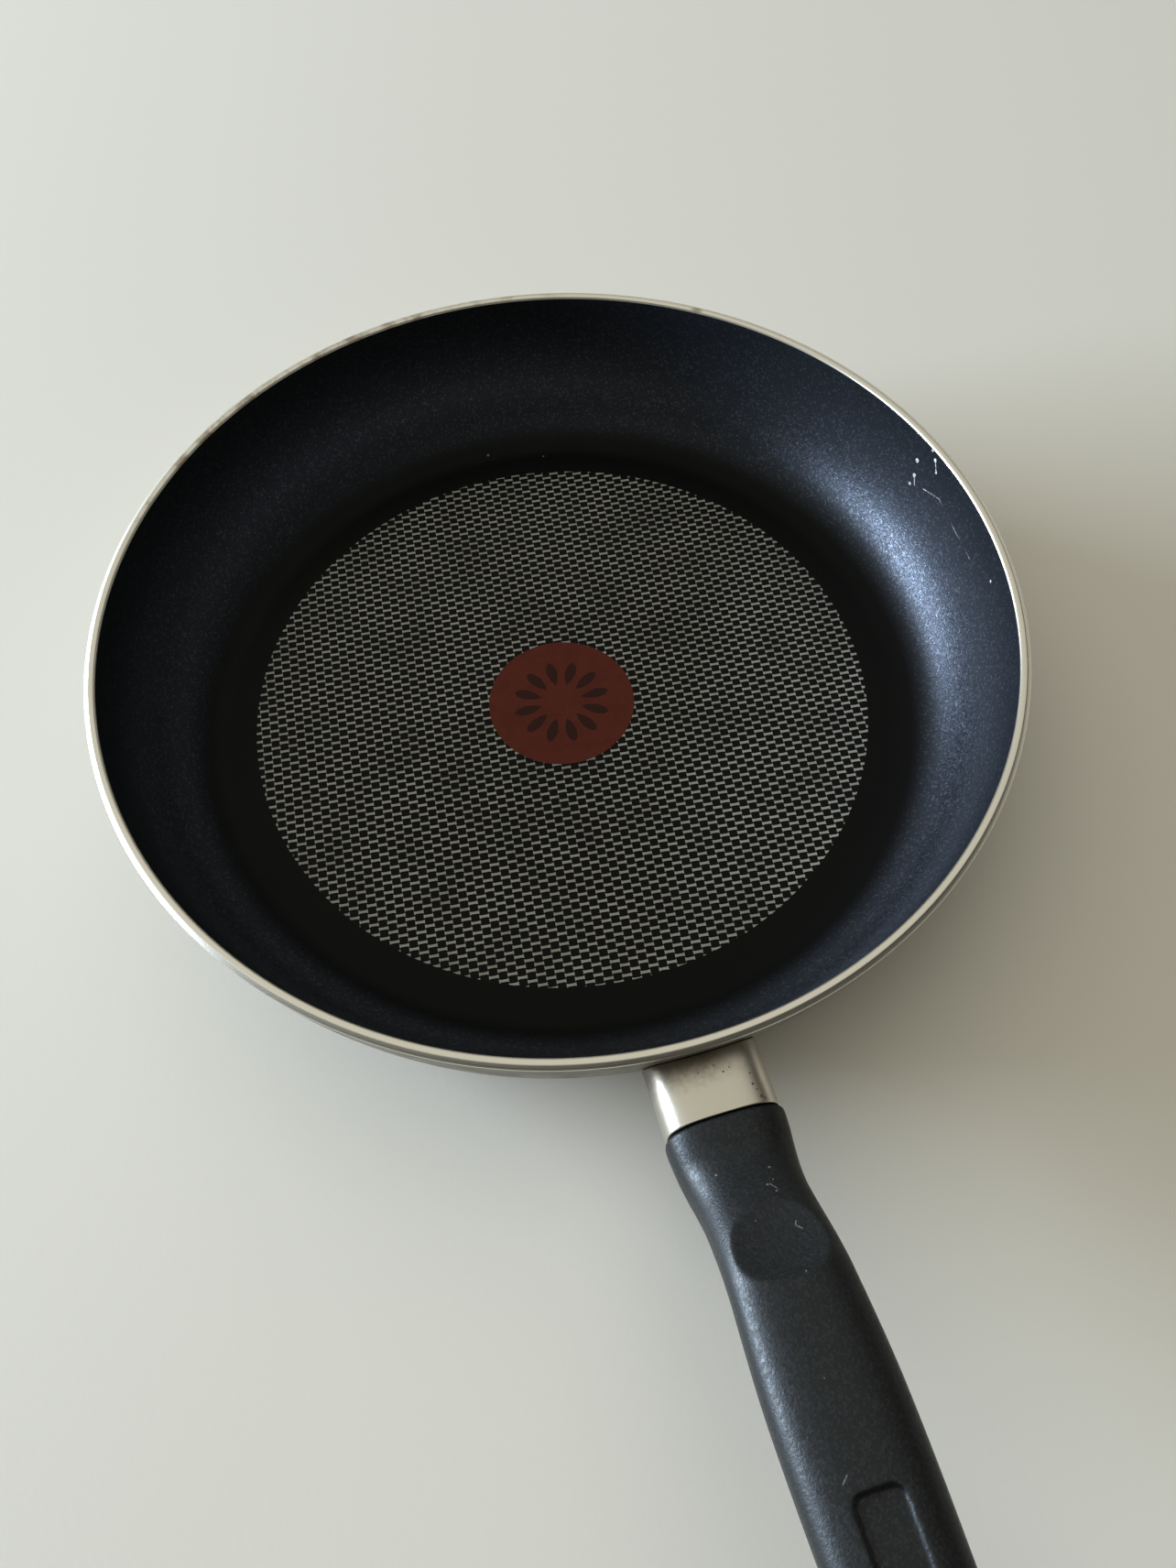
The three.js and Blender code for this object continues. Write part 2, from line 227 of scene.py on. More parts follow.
class StageSizes(bpy.types.PropertyGroup):
    """Camera, lamp and table"""

    camera: bpy.props.FloatVectorProperty(
        name="Camera",
        description="Place of the camera",
        default=(0.22648, -0.05008, 0.35856),
        size=3,
        subtype="XYZ",
        unit="LENGTH",
    )
    heading: turn("Heading", "Turn of the camera about the vertical", 75.8)
    tilt: turn("Tilt", "Tilt of the camera from straight down", 29.7)
    roll: turn("Roll", "Roll of the camera", -2.38)
    lens: number("Lens", "Focal length in millimetres on a 36 mm sensor", 31.9)
    window_heading: turn("Window heading", "Direction of the window lamp from the pan", -117)
    window_distance: size("Window distance", "Pan to the window lamp", 3000)
    window_width: size("Window width", "Width of the window lamp", 2000)
    window_height: size("Window height", "Height of the window lamp", 700)
    window_rise: size("Window rise", "Height of its middle above the table", 500)
    window_power: number("Window power", "Power of the window lamp in watts", 240)
    window_tint: colour("Window tint", "Colour of the window lamp", 228, 242, 255)
    room_light: number("Room light", "Brightness of the room's walls", 0.035)
    horizon_light: number("Horizon light", "Brightness of the backdrop low down", 0.6)
    ceiling_light: number("Ceiling light", "Brightness of the light overhead", 0.68)
    ceiling_heading: turn("Ceiling heading", "Direction of the middle of the light overhead", -155)
    ceiling_height: turn("Ceiling height", "How high the middle of the light overhead stands", 72)
    ceiling_inner: turn("Ceiling inner", "How far the light overhead is full", 36)
    ceiling_outer: turn("Ceiling outer", "Where the light overhead has ended", 60)
    room_tint: colour("Room tint", "Colour of the room's light", 255, 250, 231)


# Sizes worked out from the properties

# Steps of the wall's curve in the CAD solid, which set the height at which the boss leaves it
SOLID_WALL_STEPS = 10
SPINE_STEPS = 200
# Distance along the grip, width and depth, in millimetres
GRIP_STATIONS = ((0, 29.6, 20), (24.2, 25.5, 17.4), (71.2, 29, 18.4), (157.2, 25, 15.6))


def inner_radius(pan):
    """Where the inner wall meets the rim's land."""
    return pan.rim_radius - pan.land - pan.bevel


def wall_curve(pan):
    """The four control points of the inner wall as radius and height."""
    foot = Vector((pan.flat_radius, pan.base))
    top = Vector((inner_radius(pan), pan.height))
    up = Vector((math.sin(pan.lean), math.cos(pan.lean)))
    return foot, foot + Vector((pan.corner_reach, 0)), top - up * pan.wall_reach, top


def curve_point(control, share):
    """A point of a cubic curve, and its direction there."""
    a, b, c, d = control
    rest = 1 - share
    point = a * rest**3 + b * (3 * rest**2 * share) + c * (3 * rest * share**2) + d * share**3
    along = (b - a) * rest**2 + (c - b) * (2 * rest * share) + (d - c) * share**2
    return point, along.normalized()


def wall_points(pan, steps, gap=None):
    """The inner wall from foot to rim, or the outer wall pushed out by a gap."""
    control = wall_curve(pan)
    points = []
    for step in range(steps + 1):
        share = step / steps
        point, along = curve_point(control, share)
        metal = 0 if gap is None else pan.base + (pan.wall - pan.base) * share + gap
        points.append(point + Vector((along.y, -along.x)) * metal)
    return points


def handle_place(pan, handle):
    """The handle's frame, with its X axis out of the wall along the boss."""
    outer = wall_points(pan, SOLID_WALL_STEPS, 0)
    above = next(i for i, point in enumerate(outer) if point.y > handle.height)
    low, high = outer[above - 1], outer[above]
    radius = low.x + (high.x - low.x) * (handle.height - low.y) / (high.y - low.y)
    return Matrix.Translation((radius, 0, handle.height)) @ Matrix.Rotation(-handle.rise, 4, "Y")


def spine_curves(handle):
    """The grip's spine in the handle's frame: a straight neck, a bend and an arch, as cubic curves."""
    shoulder = Vector((handle.guard_length + handle.seat_gap, 0, 0))
    start = shoulder + Vector((handle.neck, 0, 0))
    end = start + Vector((handle.bend_run, 0, handle.bend_rise))
    out = Vector((math.cos(handle.start_slope), 0, math.sin(handle.start_slope)))
    crown = end + out * (handle.grip_run / 2)
    fall = Vector((math.cos(handle.end_slope), 0, math.sin(handle.end_slope)))
    tip = crown + fall * (handle.grip_run / 2)
    reach = handle.bend_reach
    straight = (shoulder, shoulder.lerp(start, 1 / 3), shoulder.lerp(start, 2 / 3), start)
    bend = (start, start + Vector((reach, 0, 0)), end - out * reach, end)
    arch = (end, end.lerp(crown, 2 / 3), tip.lerp(crown, 2 / 3), tip)
    return straight, bend, arch


def curve_length(control):
    """Length of a cubic curve."""
    points = [curve_point(control, step / SPINE_STEPS)[0] for step in range(SPINE_STEPS + 1)]
    return sum((b - a).length for a, b in zip(points, points[1:]))


def spine_at(handle, distance):
    """A point of the spine at a distance from the lip, and its direction, in the handle's frame."""
    for control in spine_curves(handle):
        last = curve_point(control, 0)
        for step in range(1, SPINE_STEPS + 1):
            point, along = curve_point(control, step / SPINE_STEPS)
            stretch = (point - last[0]).length
            if distance <= stretch:
                return last[0].lerp(point, distance / stretch), along
            distance -= stretch
            last = (point, along)
    return last


def spine_length(handle):
    """Length of the grip from its lip to its end."""
    return sum(curve_length(control) for control in spine_curves(handle))


def grip_section(distance):
    """Width and depth of the grip at a distance from its lip."""
    low = high = GRIP_STATIONS[-1]
    for a, b in zip(GRIP_STATIONS, GRIP_STATIONS[1:]):
        if distance < b[0] * MM:
            low, high = a, b
            break
    reach = (high[0] - low[0]) * MM
    share = (distance - low[0] * MM) / reach if reach else 0
    share = min(max(share, 0), 1)
    smooth = share * share * (3 - 2 * share)
    return [(low[i] + (high[i] - low[i]) * smooth) * MM for i in (1, 2)]


# Modelling, as by hand

CORNER_STEPS = 8
ROUND_STEPS = 64
CUTTER_HEIGHT = 20 * MM
HOLE_CUTTER = 60 * MM
# A shade under half the hole's width, so that its round ends keep a short straight side
HOLE_ROUND = 0.499
POCKET_ROUND = 1.8 * MM


def clear_selection():
    """Leave edit mode and deselect everything."""
    if bpy.context.active_object and bpy.context.active_object.mode != "OBJECT":
        bpy.ops.object.mode_set(mode="OBJECT")
    bpy.ops.object.select_all(action="DESELECT")


def pick(piece):
    """Select one object alone and make it active."""
    clear_selection()
    piece.select_set(True)
    bpy.context.view_layer.objects.active = piece
    return piece


def named(name):
    """Name the new object and its mesh."""
    piece = bpy.context.active_object
    piece.name = name
    piece.data.name = name
    return piece


def enter_edit():
    """Enter edit mode with vertices to select, because the last piece may have left it on edges."""
    bpy.ops.object.mode_set(mode="EDIT")
    bpy.ops.mesh.select_mode(type="VERT")


def edit(piece):
    """Edit one object, with all of it selected."""
    pick(piece)
    enter_edit()
    bpy.ops.mesh.select_all(action="SELECT")


def finish_edit():
    """Leave edit mode."""
    bpy.ops.object.mode_set(mode="OBJECT")


def select_none(piece):
    """Deselect all of one object's mesh, and leave edit mode, so that code can select its parts."""
    edit(piece)
    bpy.ops.mesh.select_all(action="DESELECT")
    finish_edit()


def extrude(offset):
    """Extrude what is selected along an offset."""
    bpy.ops.mesh.extrude_region_move(TRANSFORM_OT_translate={"value": offset})


def weld():
    """Select all of the mesh and merge its doubles."""
    bpy.ops.mesh.select_all(action="SELECT")
    bpy.ops.mesh.remove_doubles(threshold=WELD)


def face_outwards():
    """Select all of the mesh and point its faces outwards."""
    bpy.ops.mesh.select_all(action="SELECT")
    bpy.ops.mesh.normals_make_consistent(inside=False)


def settle(piece):
    """Put the object's place into its mesh, so that it sits at the origin."""
    pick(piece)
    bpy.ops.object.transform_apply(location=True, rotation=True, scale=True)


def place(piece, matrix):
    """Move an object by a matrix, and put its new place into its mesh."""
    piece.matrix_world = matrix @ piece.matrix_world
    bpy.context.view_layer.update()
    settle(piece)


def draw(name, points):
    """A line of edges through points, left selected in edit mode."""
    clear_selection()
    bpy.ops.mesh.primitive_plane_add(size=MM)
    piece = named(name)
    enter_edit()
    bpy.ops.mesh.select_all(action="SELECT")
    bpy.ops.mesh.merge(type="CENTER")
    bpy.ops.transform.translate(value=points[0])
    for a, b in zip(points, points[1:]):
        extrude(b - a)
    bpy.ops.mesh.select_all(action="SELECT")
    return piece


def turned_solid(name, points, steps):
    """A closed solid turned about Z from its profile."""
    piece = draw(name, points)
    bpy.ops.mesh.spin(steps=steps, angle=FULL_TURN, center=(0, 0, 0), axis=UP)
    weld()
    face_outwards()
    finish_edit()
    return piece


def plate(name, outline, thickness):
    """A flat plate of a closed outline, left selected in edit mode."""
    piece = draw(name, outline)
    weld()
    bpy.ops.mesh.edge_face_add()
    extrude((0, 0, thickness))
    face_outwards()
    return piece


def add_modifier(piece, kind, **settings):
    """Add a modifier, set it and apply it."""
    pick(piece)
    modifier = piece.modifiers.new(kind.title(), kind)
    for key, value in settings.items():
        setattr(modifier, key, value)
    bpy.ops.object.modifier_apply(modifier=modifier.name)


def cut(piece, cutter, operation="DIFFERENCE"):
    """Cut one closed mesh from another, or keep what they share, and delete the cutter."""
    add_modifier(piece, "BOOLEAN", object=cutter, operation=operation, solver="EXACT")
    bpy.data.objects.remove(cutter)


def smooth(piece, degrees):
    """Shade an object smooth, but for edges sharper than an angle."""
    pick(piece)
    bpy.ops.object.shade_smooth_by_angle(angle=math.radians(degrees))


def select_vertices(piece, test):
    """Select the vertices whose place passes a test, and the edges and faces between them."""
    select_none(piece)
    for vertex in piece.data.vertices:
        vertex.select = test(vertex.co)
    bpy.ops.object.mode_set(mode="EDIT")


def bevel_edges(rounding, segments):
    """Round the edges between the selected vertices, and leave edit mode."""
    bpy.ops.mesh.select_mode(type="EDGE")
    bpy.ops.mesh.bevel(offset=rounding, segments=segments, affect="EDGES")
    finish_edit()


def rounded_square(name, squareness, segments):
    """A face of unit width and depth across the X axis, between an oval and a square, in edit mode."""
    clear_selection()
    bpy.ops.mesh.primitive_plane_add(size=1, rotation=(QUARTER_TURN, 0, QUARTER_TURN))
    piece = named(name)
    settle(piece)
    edit(piece)
    profile = 2 ** (-2 / squareness)
    bpy.ops.mesh.bevel(
        offset_type="PERCENT", offset_pct=50, segments=segments, profile=profile, affect="VERTICES"
    )
    weld()
    return piece


def stretch_face(old, new, at):
    """Resize the selected face across X from an old width and depth to new ones."""
    scale = (1, new[0] / old[0], new[1] / old[1])
    bpy.ops.transform.resize(value=scale, center_override=at)


def prism(name, length, width, radius, height):
    """A bar with rounded corners, its length along X, its foot at the origin and its height along Z."""
    clear_selection()
    bpy.ops.mesh.primitive_plane_add(size=1)
    piece = named(name)
    piece.scale = (length, width, 1)
    settle(piece)
    edit(piece)
    bpy.ops.mesh.bevel(offset=radius, segments=CORNER_STEPS, affect="VERTICES")
    weld()
    extrude((0, 0, height))
    face_outwards()
    finish_edit()
    return piece


# Materials


class Tree:
    """The nodes of one material, with a short call for each kind of node."""

    def __init__(self, name):
        self.material = bpy.data.materials.new(name)
        self.open(self.material, "Principled BSDF", "Object")

    def open(self, owner, shader, coordinates):
        """Use the nodes of a material or a world."""
        owner.use_nodes = True
        self.nodes = owner.node_tree.nodes
        self.links = owner.node_tree.links
        self.shader = self.nodes[shader]
        self.place = self.nodes.new("ShaderNodeTexCoord").outputs[coordinates]

    def put(self, socket, value):
        """Link a socket, or set it to a number or colour."""
        if isinstance(value, bpy.types.NodeSocket):
            self.links.new(value, socket)
        elif hasattr(value, "__len__") and socket.type == "RGBA":
            socket.default_value = (*value[:3], 1)
        else:
            socket.default_value = value

    def shade(self, **values):
        """Give the shader its colour, roughness and so on."""
        for name, value in values.items():
            self.put(self.shader.inputs[name.replace("_", " ").title().replace("Ior", "IOR")], value)

    def math(self, operation, a, b=0.0):
        """What an operation makes of one or two numbers."""
        node = self.nodes.new("ShaderNodeMath")
        node.operation = operation
        for socket, value in zip(node.inputs, (a, b)):
            self.put(socket, value)
        return node.outputs[0]

    def vector(self, operation, a, b, output=0):
        """What an operation makes of two vectors. Output 0 is a vector, and output 1 a number."""
        node = self.nodes.new("ShaderNodeVectorMath")
        node.operation = operation
        self.put(node.inputs[0], a)
        self.put(node.inputs[1], b)
        return node.outputs[output]

    def split(self, vector):
        """The three parts of a vector."""
        node = self.nodes.new("ShaderNodeSeparateXYZ")
        self.put(node.inputs[0], vector)
        return node.outputs

    def join(self, x, y, z):
        """A vector of three parts."""
        node = self.nodes.new("ShaderNodeCombineXYZ")
        for socket, value in zip(node.inputs, (x, y, z)):
            self.put(socket, value)
        return node.outputs[0]

    def turned(self, angle):
        """The place on the piece, turned about the pan's axis."""
        node = self.nodes.new("ShaderNodeMapping")
        self.put(node.inputs["Vector"], self.place)
        self.put(node.inputs["Rotation"], (0, 0, angle))
        return node.outputs[0]

    def noise(self, grain, detail=2.0, roughness=0.5, vector=None):
        """Noise whose features are about as large as the grain."""
        node = self.nodes.new("ShaderNodeTexNoise")
        self.put(node.inputs["Vector"], vector or self.place)
        node.inputs["Scale"].default_value = 1 / grain
        node.inputs["Detail"].default_value = detail
        node.inputs["Roughness"].default_value = roughness
        return node.outputs["Fac"]

    def cells(self, grain, output="Distance"):
        """Cells about as large as the grain, each with its own colour."""
        node = self.nodes.new("ShaderNodeTexVoronoi")
        self.put(node.inputs["Vector"], self.place)
        node.inputs["Scale"].default_value = 1 / grain
        return node.outputs[output]

    def step(self, value, low, high, to_low=0.0, to_high=1.0):
        """A smooth step from one level to another."""
        node = self.nodes.new("ShaderNodeMapRange")
        node.interpolation_type = "SMOOTHSTEP"
        levels = {"Value": value, "From Min": low, "From Max": high, "To Min": to_low, "To Max": to_high}
        for name, level in levels.items():
            self.put(node.inputs[name], level)
        return node.outputs[0]

    def fall(self, value, low, high):
        """A smooth step down from 1 to 0."""
        return self.step(value, low, high, 1.0, 0.0)

    def vary(self, noise, least, most):
        """A level that follows a noise between its least and most."""
        return self.step(noise, 0.3, 0.7, least, most)

    def length(self, x, y):
        """The length of a step of x and y."""
        return self.math("SQRT", self.math("ADD", self.times(x, x), self.times(y, y)))

    def times(self, *values):
        """The product of some numbers."""
        product = values[0]
        for value in values[1:]:
            product = self.math("MULTIPLY", product, value)
        return product

    def most(self, *values):
        """The largest of some numbers."""
        largest = values[0]
        for value in values[1:]:
            largest = self.math("MAXIMUM", largest, value)
        return largest

    def mix(self, share, a, b):
        """Mix two colours."""
        node = self.nodes.new("ShaderNodeMix")
        node.data_type = "RGBA"
        self.put(node.inputs[0], share)
        self.put(node.inputs[6], a)
        self.put(node.inputs[7], b)
        return node.outputs[2]

    def blend(self, share, a, b):
        """Mix two numbers."""
        node = self.nodes.new("ShaderNodeMix")
        self.put(node.inputs[0], share)
        self.put(node.inputs[2], a)
        self.put(node.inputs[3], b)
        return node.outputs[0]

    def bump(self, height, depth, under=None):
        """Height from 0 to 1 as a bump of a real depth."""
        node = self.nodes.new("ShaderNodeBump")
        node.inputs["Strength"].default_value = 1
        self.put(node.inputs["Distance"], depth)
        self.put(node.inputs["Height"], height)
        if under is not None:
            self.put(node.inputs["Normal"], under)
        return node.outputs[0]

    def near(self, centre, radius, soft, seen_from_above=False):
        """1 within a radius of a point, falling to 0 over a soft edge."""
        place, centre = self.place, Vector(centre)
        if seen_from_above:
            place, centre.z = self.vector("MULTIPLY", place, (1, 1, 0)), 0
        away = self.vector("DISTANCE", place, centre, output=1)
        return self.fall(away, radius, radius + soft)

    def marks(self, points, soft, seen_from_above=False):
        """1 on each of a list of small round marks, given in millimetres with their radius."""
        spots = [
            self.near(Vector(point[:3]) * MM, point[3] * MM, soft, seen_from_above) for point in points
        ]
        return self.most(*spots)

    def scratches(self, lines, soft, ragged):
        """1 on each of a list of scratches, given in millimetres from end to end, with broken edges."""
        drawn = [
            self.line(Vector(start) * MM, Vector(end) * MM, width * MM, soft)
            for start, end, width in lines
        ]
        return self.times(self.most(*drawn), ragged)

    def line(self, start, end, width, soft):
        """1 on a straight line between two points, falling to 0 at its sides."""
        run = end - start
        from_start = self.vector("SUBTRACT", self.place, start)
        share = self.vector("DOT_PRODUCT", from_start, run / run.length_squared, output=1)
        node = self.nodes.new("ShaderNodeVectorMath")
        node.operation = "SCALE"
        self.put(node.inputs[0], run)
        self.put(node.inputs["Scale"], self.math("MINIMUM", self.math("MAXIMUM", share, 0.0), 1.0))
        away = self.vector("DISTANCE", from_start, node.outputs[0], output=1)
        return self.fall(away, width, width + soft)


class RoomTree(Tree):
    """The nodes of the world, whose place is the direction looked in."""

    def __init__(self, world):
        self.open(world, "Background", "Generated")


def give(piece, *trees):
    """Give a piece its materials, in place of any it has."""
    piece.data.materials.clear()
    for tree in trees:
        piece.data.materials.append(tree.material)


def from_axis(tree):
    """Distance from the pan's axis, and height."""
    x, y, z = tree.split(tree.place)
    return tree.length(x, y), z


def lattice_squares(tree, sizes):
    """1 on the dark squares that lie between the printed bars."""
    corner, soft = 0.25 * MM, 0.08 * MM

    def past(distance, side):
        """How far a point lies past the straight part of a square's side."""
        reach = tree.math("SUBTRACT", tree.math("ABSOLUTE", distance), side / 2 - corner)
        return tree.math("MAXIMUM", reach, 0.0)

    u, v, _ = tree.split(tree.turned(-sizes.turned))
    row = tree.math("ROUND", tree.math("DIVIDE", u, sizes.row_pitch))
    odd = tree.math("FLOORED_MODULO", row, 2.0)
    across = tree.math("SUBTRACT", u, tree.times(row, sizes.row_pitch))
    half = sizes.bar_pitch / 2
    shifted = tree.math("ADD", v, tree.times(odd, half))
    along = tree.math("SUBTRACT", tree.math("FLOORED_MODULO", shifted, sizes.bar_pitch), half)
    away = tree.length(past(across, sizes.square_wide), past(along, sizes.square_long))
    return tree.fall(away, corner - soft, corner + soft)


# Marks are x, y, z and radius in millimetres, and scratches are two ends and half a width
WALL_CHIPS = (
    (-29.6, 121.7, 38.9, 0.55),
    (-26.2, 123.9, 46.0, 0.3),
    (-23.8, 124.1, 44.2, 0.45),
    (-21.6, 124.0, 41.3, 0.3),
    (-28.0, 121.1, 34.3, 0.5),
    (-27.9, 120.1, 31.1, 0.4),
    (19.0, 123.8, 38.7, 0.3),
)
WALL_SCRATCHES = (
    ((-33.5, 120.0, 37.0), (-29.6, 121.7, 38.9), 0.08),
    ((-23.8, 124.1, 44.2), (-21.6, 124.0, 41.3), 0.1),
    ((-28.0, 121.1, 34.3), (-26.2, 121.0, 31.8), 0.1),
    ((-22.7, 122.0, 33.5), (-15.8, 123.6, 35.9), 0.09),
    ((-15.8, 123.6, 35.9), (-4.4, 124.1, 34.0), 0.08),
    ((-4.4, 124.1, 34.0), (6.4, 124.0, 34.0), 0.07),
)
FLOOR_SPECKS = ((-103.2, 3.1, 3.9, 0.35), (-97.6, 21.0, 3.3, 0.2), (28.0, -88.0, 3.3, 0.18))
FLAKE_SIZE = 0.5 * MM
PRINT_SOFT = 0.2 * MM


def coating_finish(sizes, pan, colours):
    """Black coating with metal flakes, and a painted sheen: a brighter, more metallic coat in a ring at
    the foot of the wall, where the window's highlight falls, fading towards the rim.
    """
    tree = Tree("non_stick_coating")
    radius, height = from_axis(tree)
    foot = pan.flat_radius
    flake, gloss, _ = tree.split(tree.cells(FLAKE_SIZE, output="Color"))
    flake = tree.step(flake, 0.78, 0.96)
    cloud = tree.noise(18 * MM, detail=3)
    # Painted sheen: the coat is brighter and more metallic only in a ring where the window's highlight
    # falls, and it fades towards the rim, where the wall looks dark
    starts = tree.step(radius, foot + 6 * MM, foot + 20 * MM)
    fades = tree.step(radius, foot + 17 * MM, foot + 28 * MM, 1.0, 0.12)
    sheen_ring = tree.times(starts, fades)
    wall_coat = tree.mix(tree.times(flake, 0.6), colours.flaked_sheen, colours.sparkle)
    ground = tree.mix(sheen_ring, colours.coating, wall_coat)
    squares = lattice_squares(tree, sizes)
    printed = tree.mix(squares, colours.halo, colours.square)
    in_print = tree.fall(radius, sizes.radius - PRINT_SOFT, sizes.radius + PRINT_SOFT)
    in_print = tree.times(in_print, tree.fall(height, pan.base + MM, pan.base + 2 * MM))
    base = tree.mix(in_print, ground, printed)
    ragged = tree.step(tree.noise(FLAKE_SIZE, detail=3), 0.36, 0.5)
    chipped = tree.times(tree.marks(WALL_CHIPS, 0.25 * MM), ragged)
    scored = tree.scratches(WALL_SCRATCHES, 0.16 * MM, ragged)
    specks = tree.marks(FLOOR_SPECKS, 0.15 * MM)
    hurt = tree.most(chipped, tree.times(scored, 0.7), tree.times(specks, 0.3))
    base = tree.mix(hurt, base, colours.bared)
    peel = tree.noise(1.3 * MM)
    fine = tree.noise(FLAKE_SIZE, roughness=0.7)
    floor_gloss = tree.step(cloud, 0.3, 0.75, 0.36, 0.42)
    wall_gloss = tree.step(gloss, 0, 1, 0.26, 0.5)
    normal = tree.bump(peel, 0.05 * MM)
    normal = tree.bump(fine, tree.blend(sheen_ring, 0.02 * MM, 0.09 * MM), normal)
    tree.shade(
        base_color=base,
        metallic=tree.times(sheen_ring, 0.9),
        roughness=tree.blend(sheen_ring, floor_gloss, wall_gloss),
        normal=normal,
        specular_ior_level=0.1,
    )
    return tree


RIM_MARKS = ((-127.5, -21.0, 47.0, 0.6), (-124.8, -33.4, 47.0, 1.2), (-102.4, 75.2, 47.2, 0.5))


def bare_metal_finish(name, colours, pan):
    """Turned aluminium, with fat burnt on where the rim is stained."""
    tree = Tree(name)
    radius, _ = from_axis(tree)
    stain = tree.step(tree.noise(7 * MM, detail=4, roughness=0.65), 0.4, 0.68)
    behind = tree.near((-118 * MM, -52 * MM, pan.height), 50 * MM, 50 * MM)
    brown = tree.most(tree.times(stain, behind), tree.marks(RIM_MARKS, 2.2 * MM))
    turned = tree.noise(0.16 * MM, vector=tree.join(radius, 0.0, 0.0))
    tree.shade(
        base_color=tree.mix(tree.times(brown, 0.62), colours.rim, colours.stain),
        metallic=1.0,
        roughness=tree.blend(brown, tree.vary(turned, 0.26, 0.36), 0.55),
        normal=tree.bump(turned, 0.01 * MM),
    )
    return tree


def outside_finish(colours):
    """Enamel with clouds of burnt-on fat."""
    tree = Tree("outside_enamel")
    cloud = tree.noise(9 * MM, detail=4, roughness=0.6)
    dirt = tree.step(cloud, 0.5, 0.72)
    tree.shade(
        base_color=tree.mix(tree.times(dirt, 0.35), colours.outside, colours.stain),
        metallic=0.35,
        roughness=tree.vary(cloud, 0.34, 0.5),
        normal=tree.bump(tree.noise(0.6 * MM), 0.015 * MM),
    )
    return tree


class PAN_OT_bowl(bpy.types.Operator):
    """Draw the pan's profile, spin it, round the rim's edges and give it its four finishes"""

    bl_idname = "pan.bowl"
    bl_label = "Bowl"

    # How far below the rim's bevel the outer wall's curve ends
    BEVEL_CLEAR = 0.3 * MM
    # How far a normal leans outwards or down before its face counts as outside or underside
    LEAN = 0.2
    EDGE_STEPS = 3
    INNER_EDGE_STEPS = 6

    def profile(self, pan):
        """Half the pan's section, from the middle of its underside round to the middle of its floor."""
        points = [Vector((0, 0))]
        for ring in range(pan.ring_count):
            start = pan.ring_first + ring * pan.ring_pitch
            end = start + pan.ring_width
            points += [Vector((start, 0)), Vector((start + pan.ring_slope, pan.ring_depth))]
            points += [Vector((end - pan.ring_slope, pan.ring_depth)), Vector((end, 0))]
        bevel_foot = Vector((pan.rim_radius, pan.height - pan.bevel_drop))
        outer_top = bevel_foot.y - self.BEVEL_CLEAR
        points += [p for p in wall_points(pan, pan.wall_steps, 0) if p.y < outer_top]
        points += [bevel_foot, Vector((pan.rim_radius - pan.bevel, pan.height))]
        points += reversed(wall_points(pan, pan.wall_steps))
        points.append(Vector((0, pan.base)))
        return [Vector((point.x, 0, point.y)) for point in points]

    def round_corner(self, bowl, radius, height, rounding, segments):
        """Round the ring of edges at a radius and height."""

        def on_corner(co):
            away = math.hypot(math.hypot(co.x, co.y) - radius, co.z - height)
            return away < 10 * WELD

        select_vertices(bowl, on_corner)
        bevel_edges(rounding, segments)

    def round_rim(self, bowl, pan):
        """Round the foot of the bevel, the outer edge of the land and its inner edge."""
        inner, bevel_foot = inner_radius(pan), pan.height - pan.bevel_drop
        self.round_corner(bowl, pan.rim_radius, bevel_foot, pan.edge, self.EDGE_STEPS)
        self.round_corner(bowl, inner + pan.land, pan.height, pan.edge, self.EDGE_STEPS)
        self.round_corner(bowl, inner, pan.height, pan.inner_edge, self.INNER_EDGE_STEPS)

    def zones(self, bowl, pan):
        """Coating 0, rim 1, outside 2 and underside 3, by where a face lies and faces."""
        rim_foot = pan.height - pan.bevel_drop - 1.5 * pan.edge
        bare_from = pan.height - pan.inner_edge
        land_end = inner_radius(pan) + pan.land
        for face in bowl.data.polygons:
            middle = face.center
            radius = math.hypot(middle.x, middle.y)
            outwards = (face.normal.x * middle.x + face.normal.y * middle.y) / max(radius, WELD)
            if middle.z > (bare_from if radius < land_end else rim_foot):
                face.material_index = 1
            elif outwards > self.LEAN:
                face.material_index = 2
            elif face.normal.z < -self.LEAN or middle.z < pan.base / 2:
                face.material_index = 3

    def execute(self, context):
        scene = context.scene
        pan, colours = scene.pan_sizes, scene.pan_finishes
        bowl = turned_solid("bowl", self.profile(pan), pan.turned_steps)
        self.round_rim(bowl, pan)
        give(
            bowl,
            coating_finish(scene.print_sizes, pan, colours),
            bare_metal_finish("bare_rim", colours, pan),
            outside_finish(colours),
            bare_metal_finish("bare_underside", colours, pan),
        )
        self.zones(bowl, pan)
        smooth(bowl, degrees=24)
        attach(bowl, "root")
        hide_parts("pan_body")
        return {"FINISHED"}


def bars_finish(colours):
    """Grey print, worn in clouds and specks."""
    tree = Tree("printed_bars")
    worn = tree.noise(14 * MM, detail=4, roughness=0.6)
    speck = tree.noise(0.5 * MM)
    tone = tree.mix(tree.step(worn, 0.35, 0.75, 0.0, 0.35), colours.bars, colours.square)
    tree.shade(
        base_color=tree.mix(tree.step(speck, 0.6, 0.75, 0.0, 0.25), tone, colours.square),
        roughness=tree.vary(worn, 0.42, 0.52),
        normal=tree.bump(speck, 0.01 * MM),
        specular_ior_level=0.15,
    )
    return tree


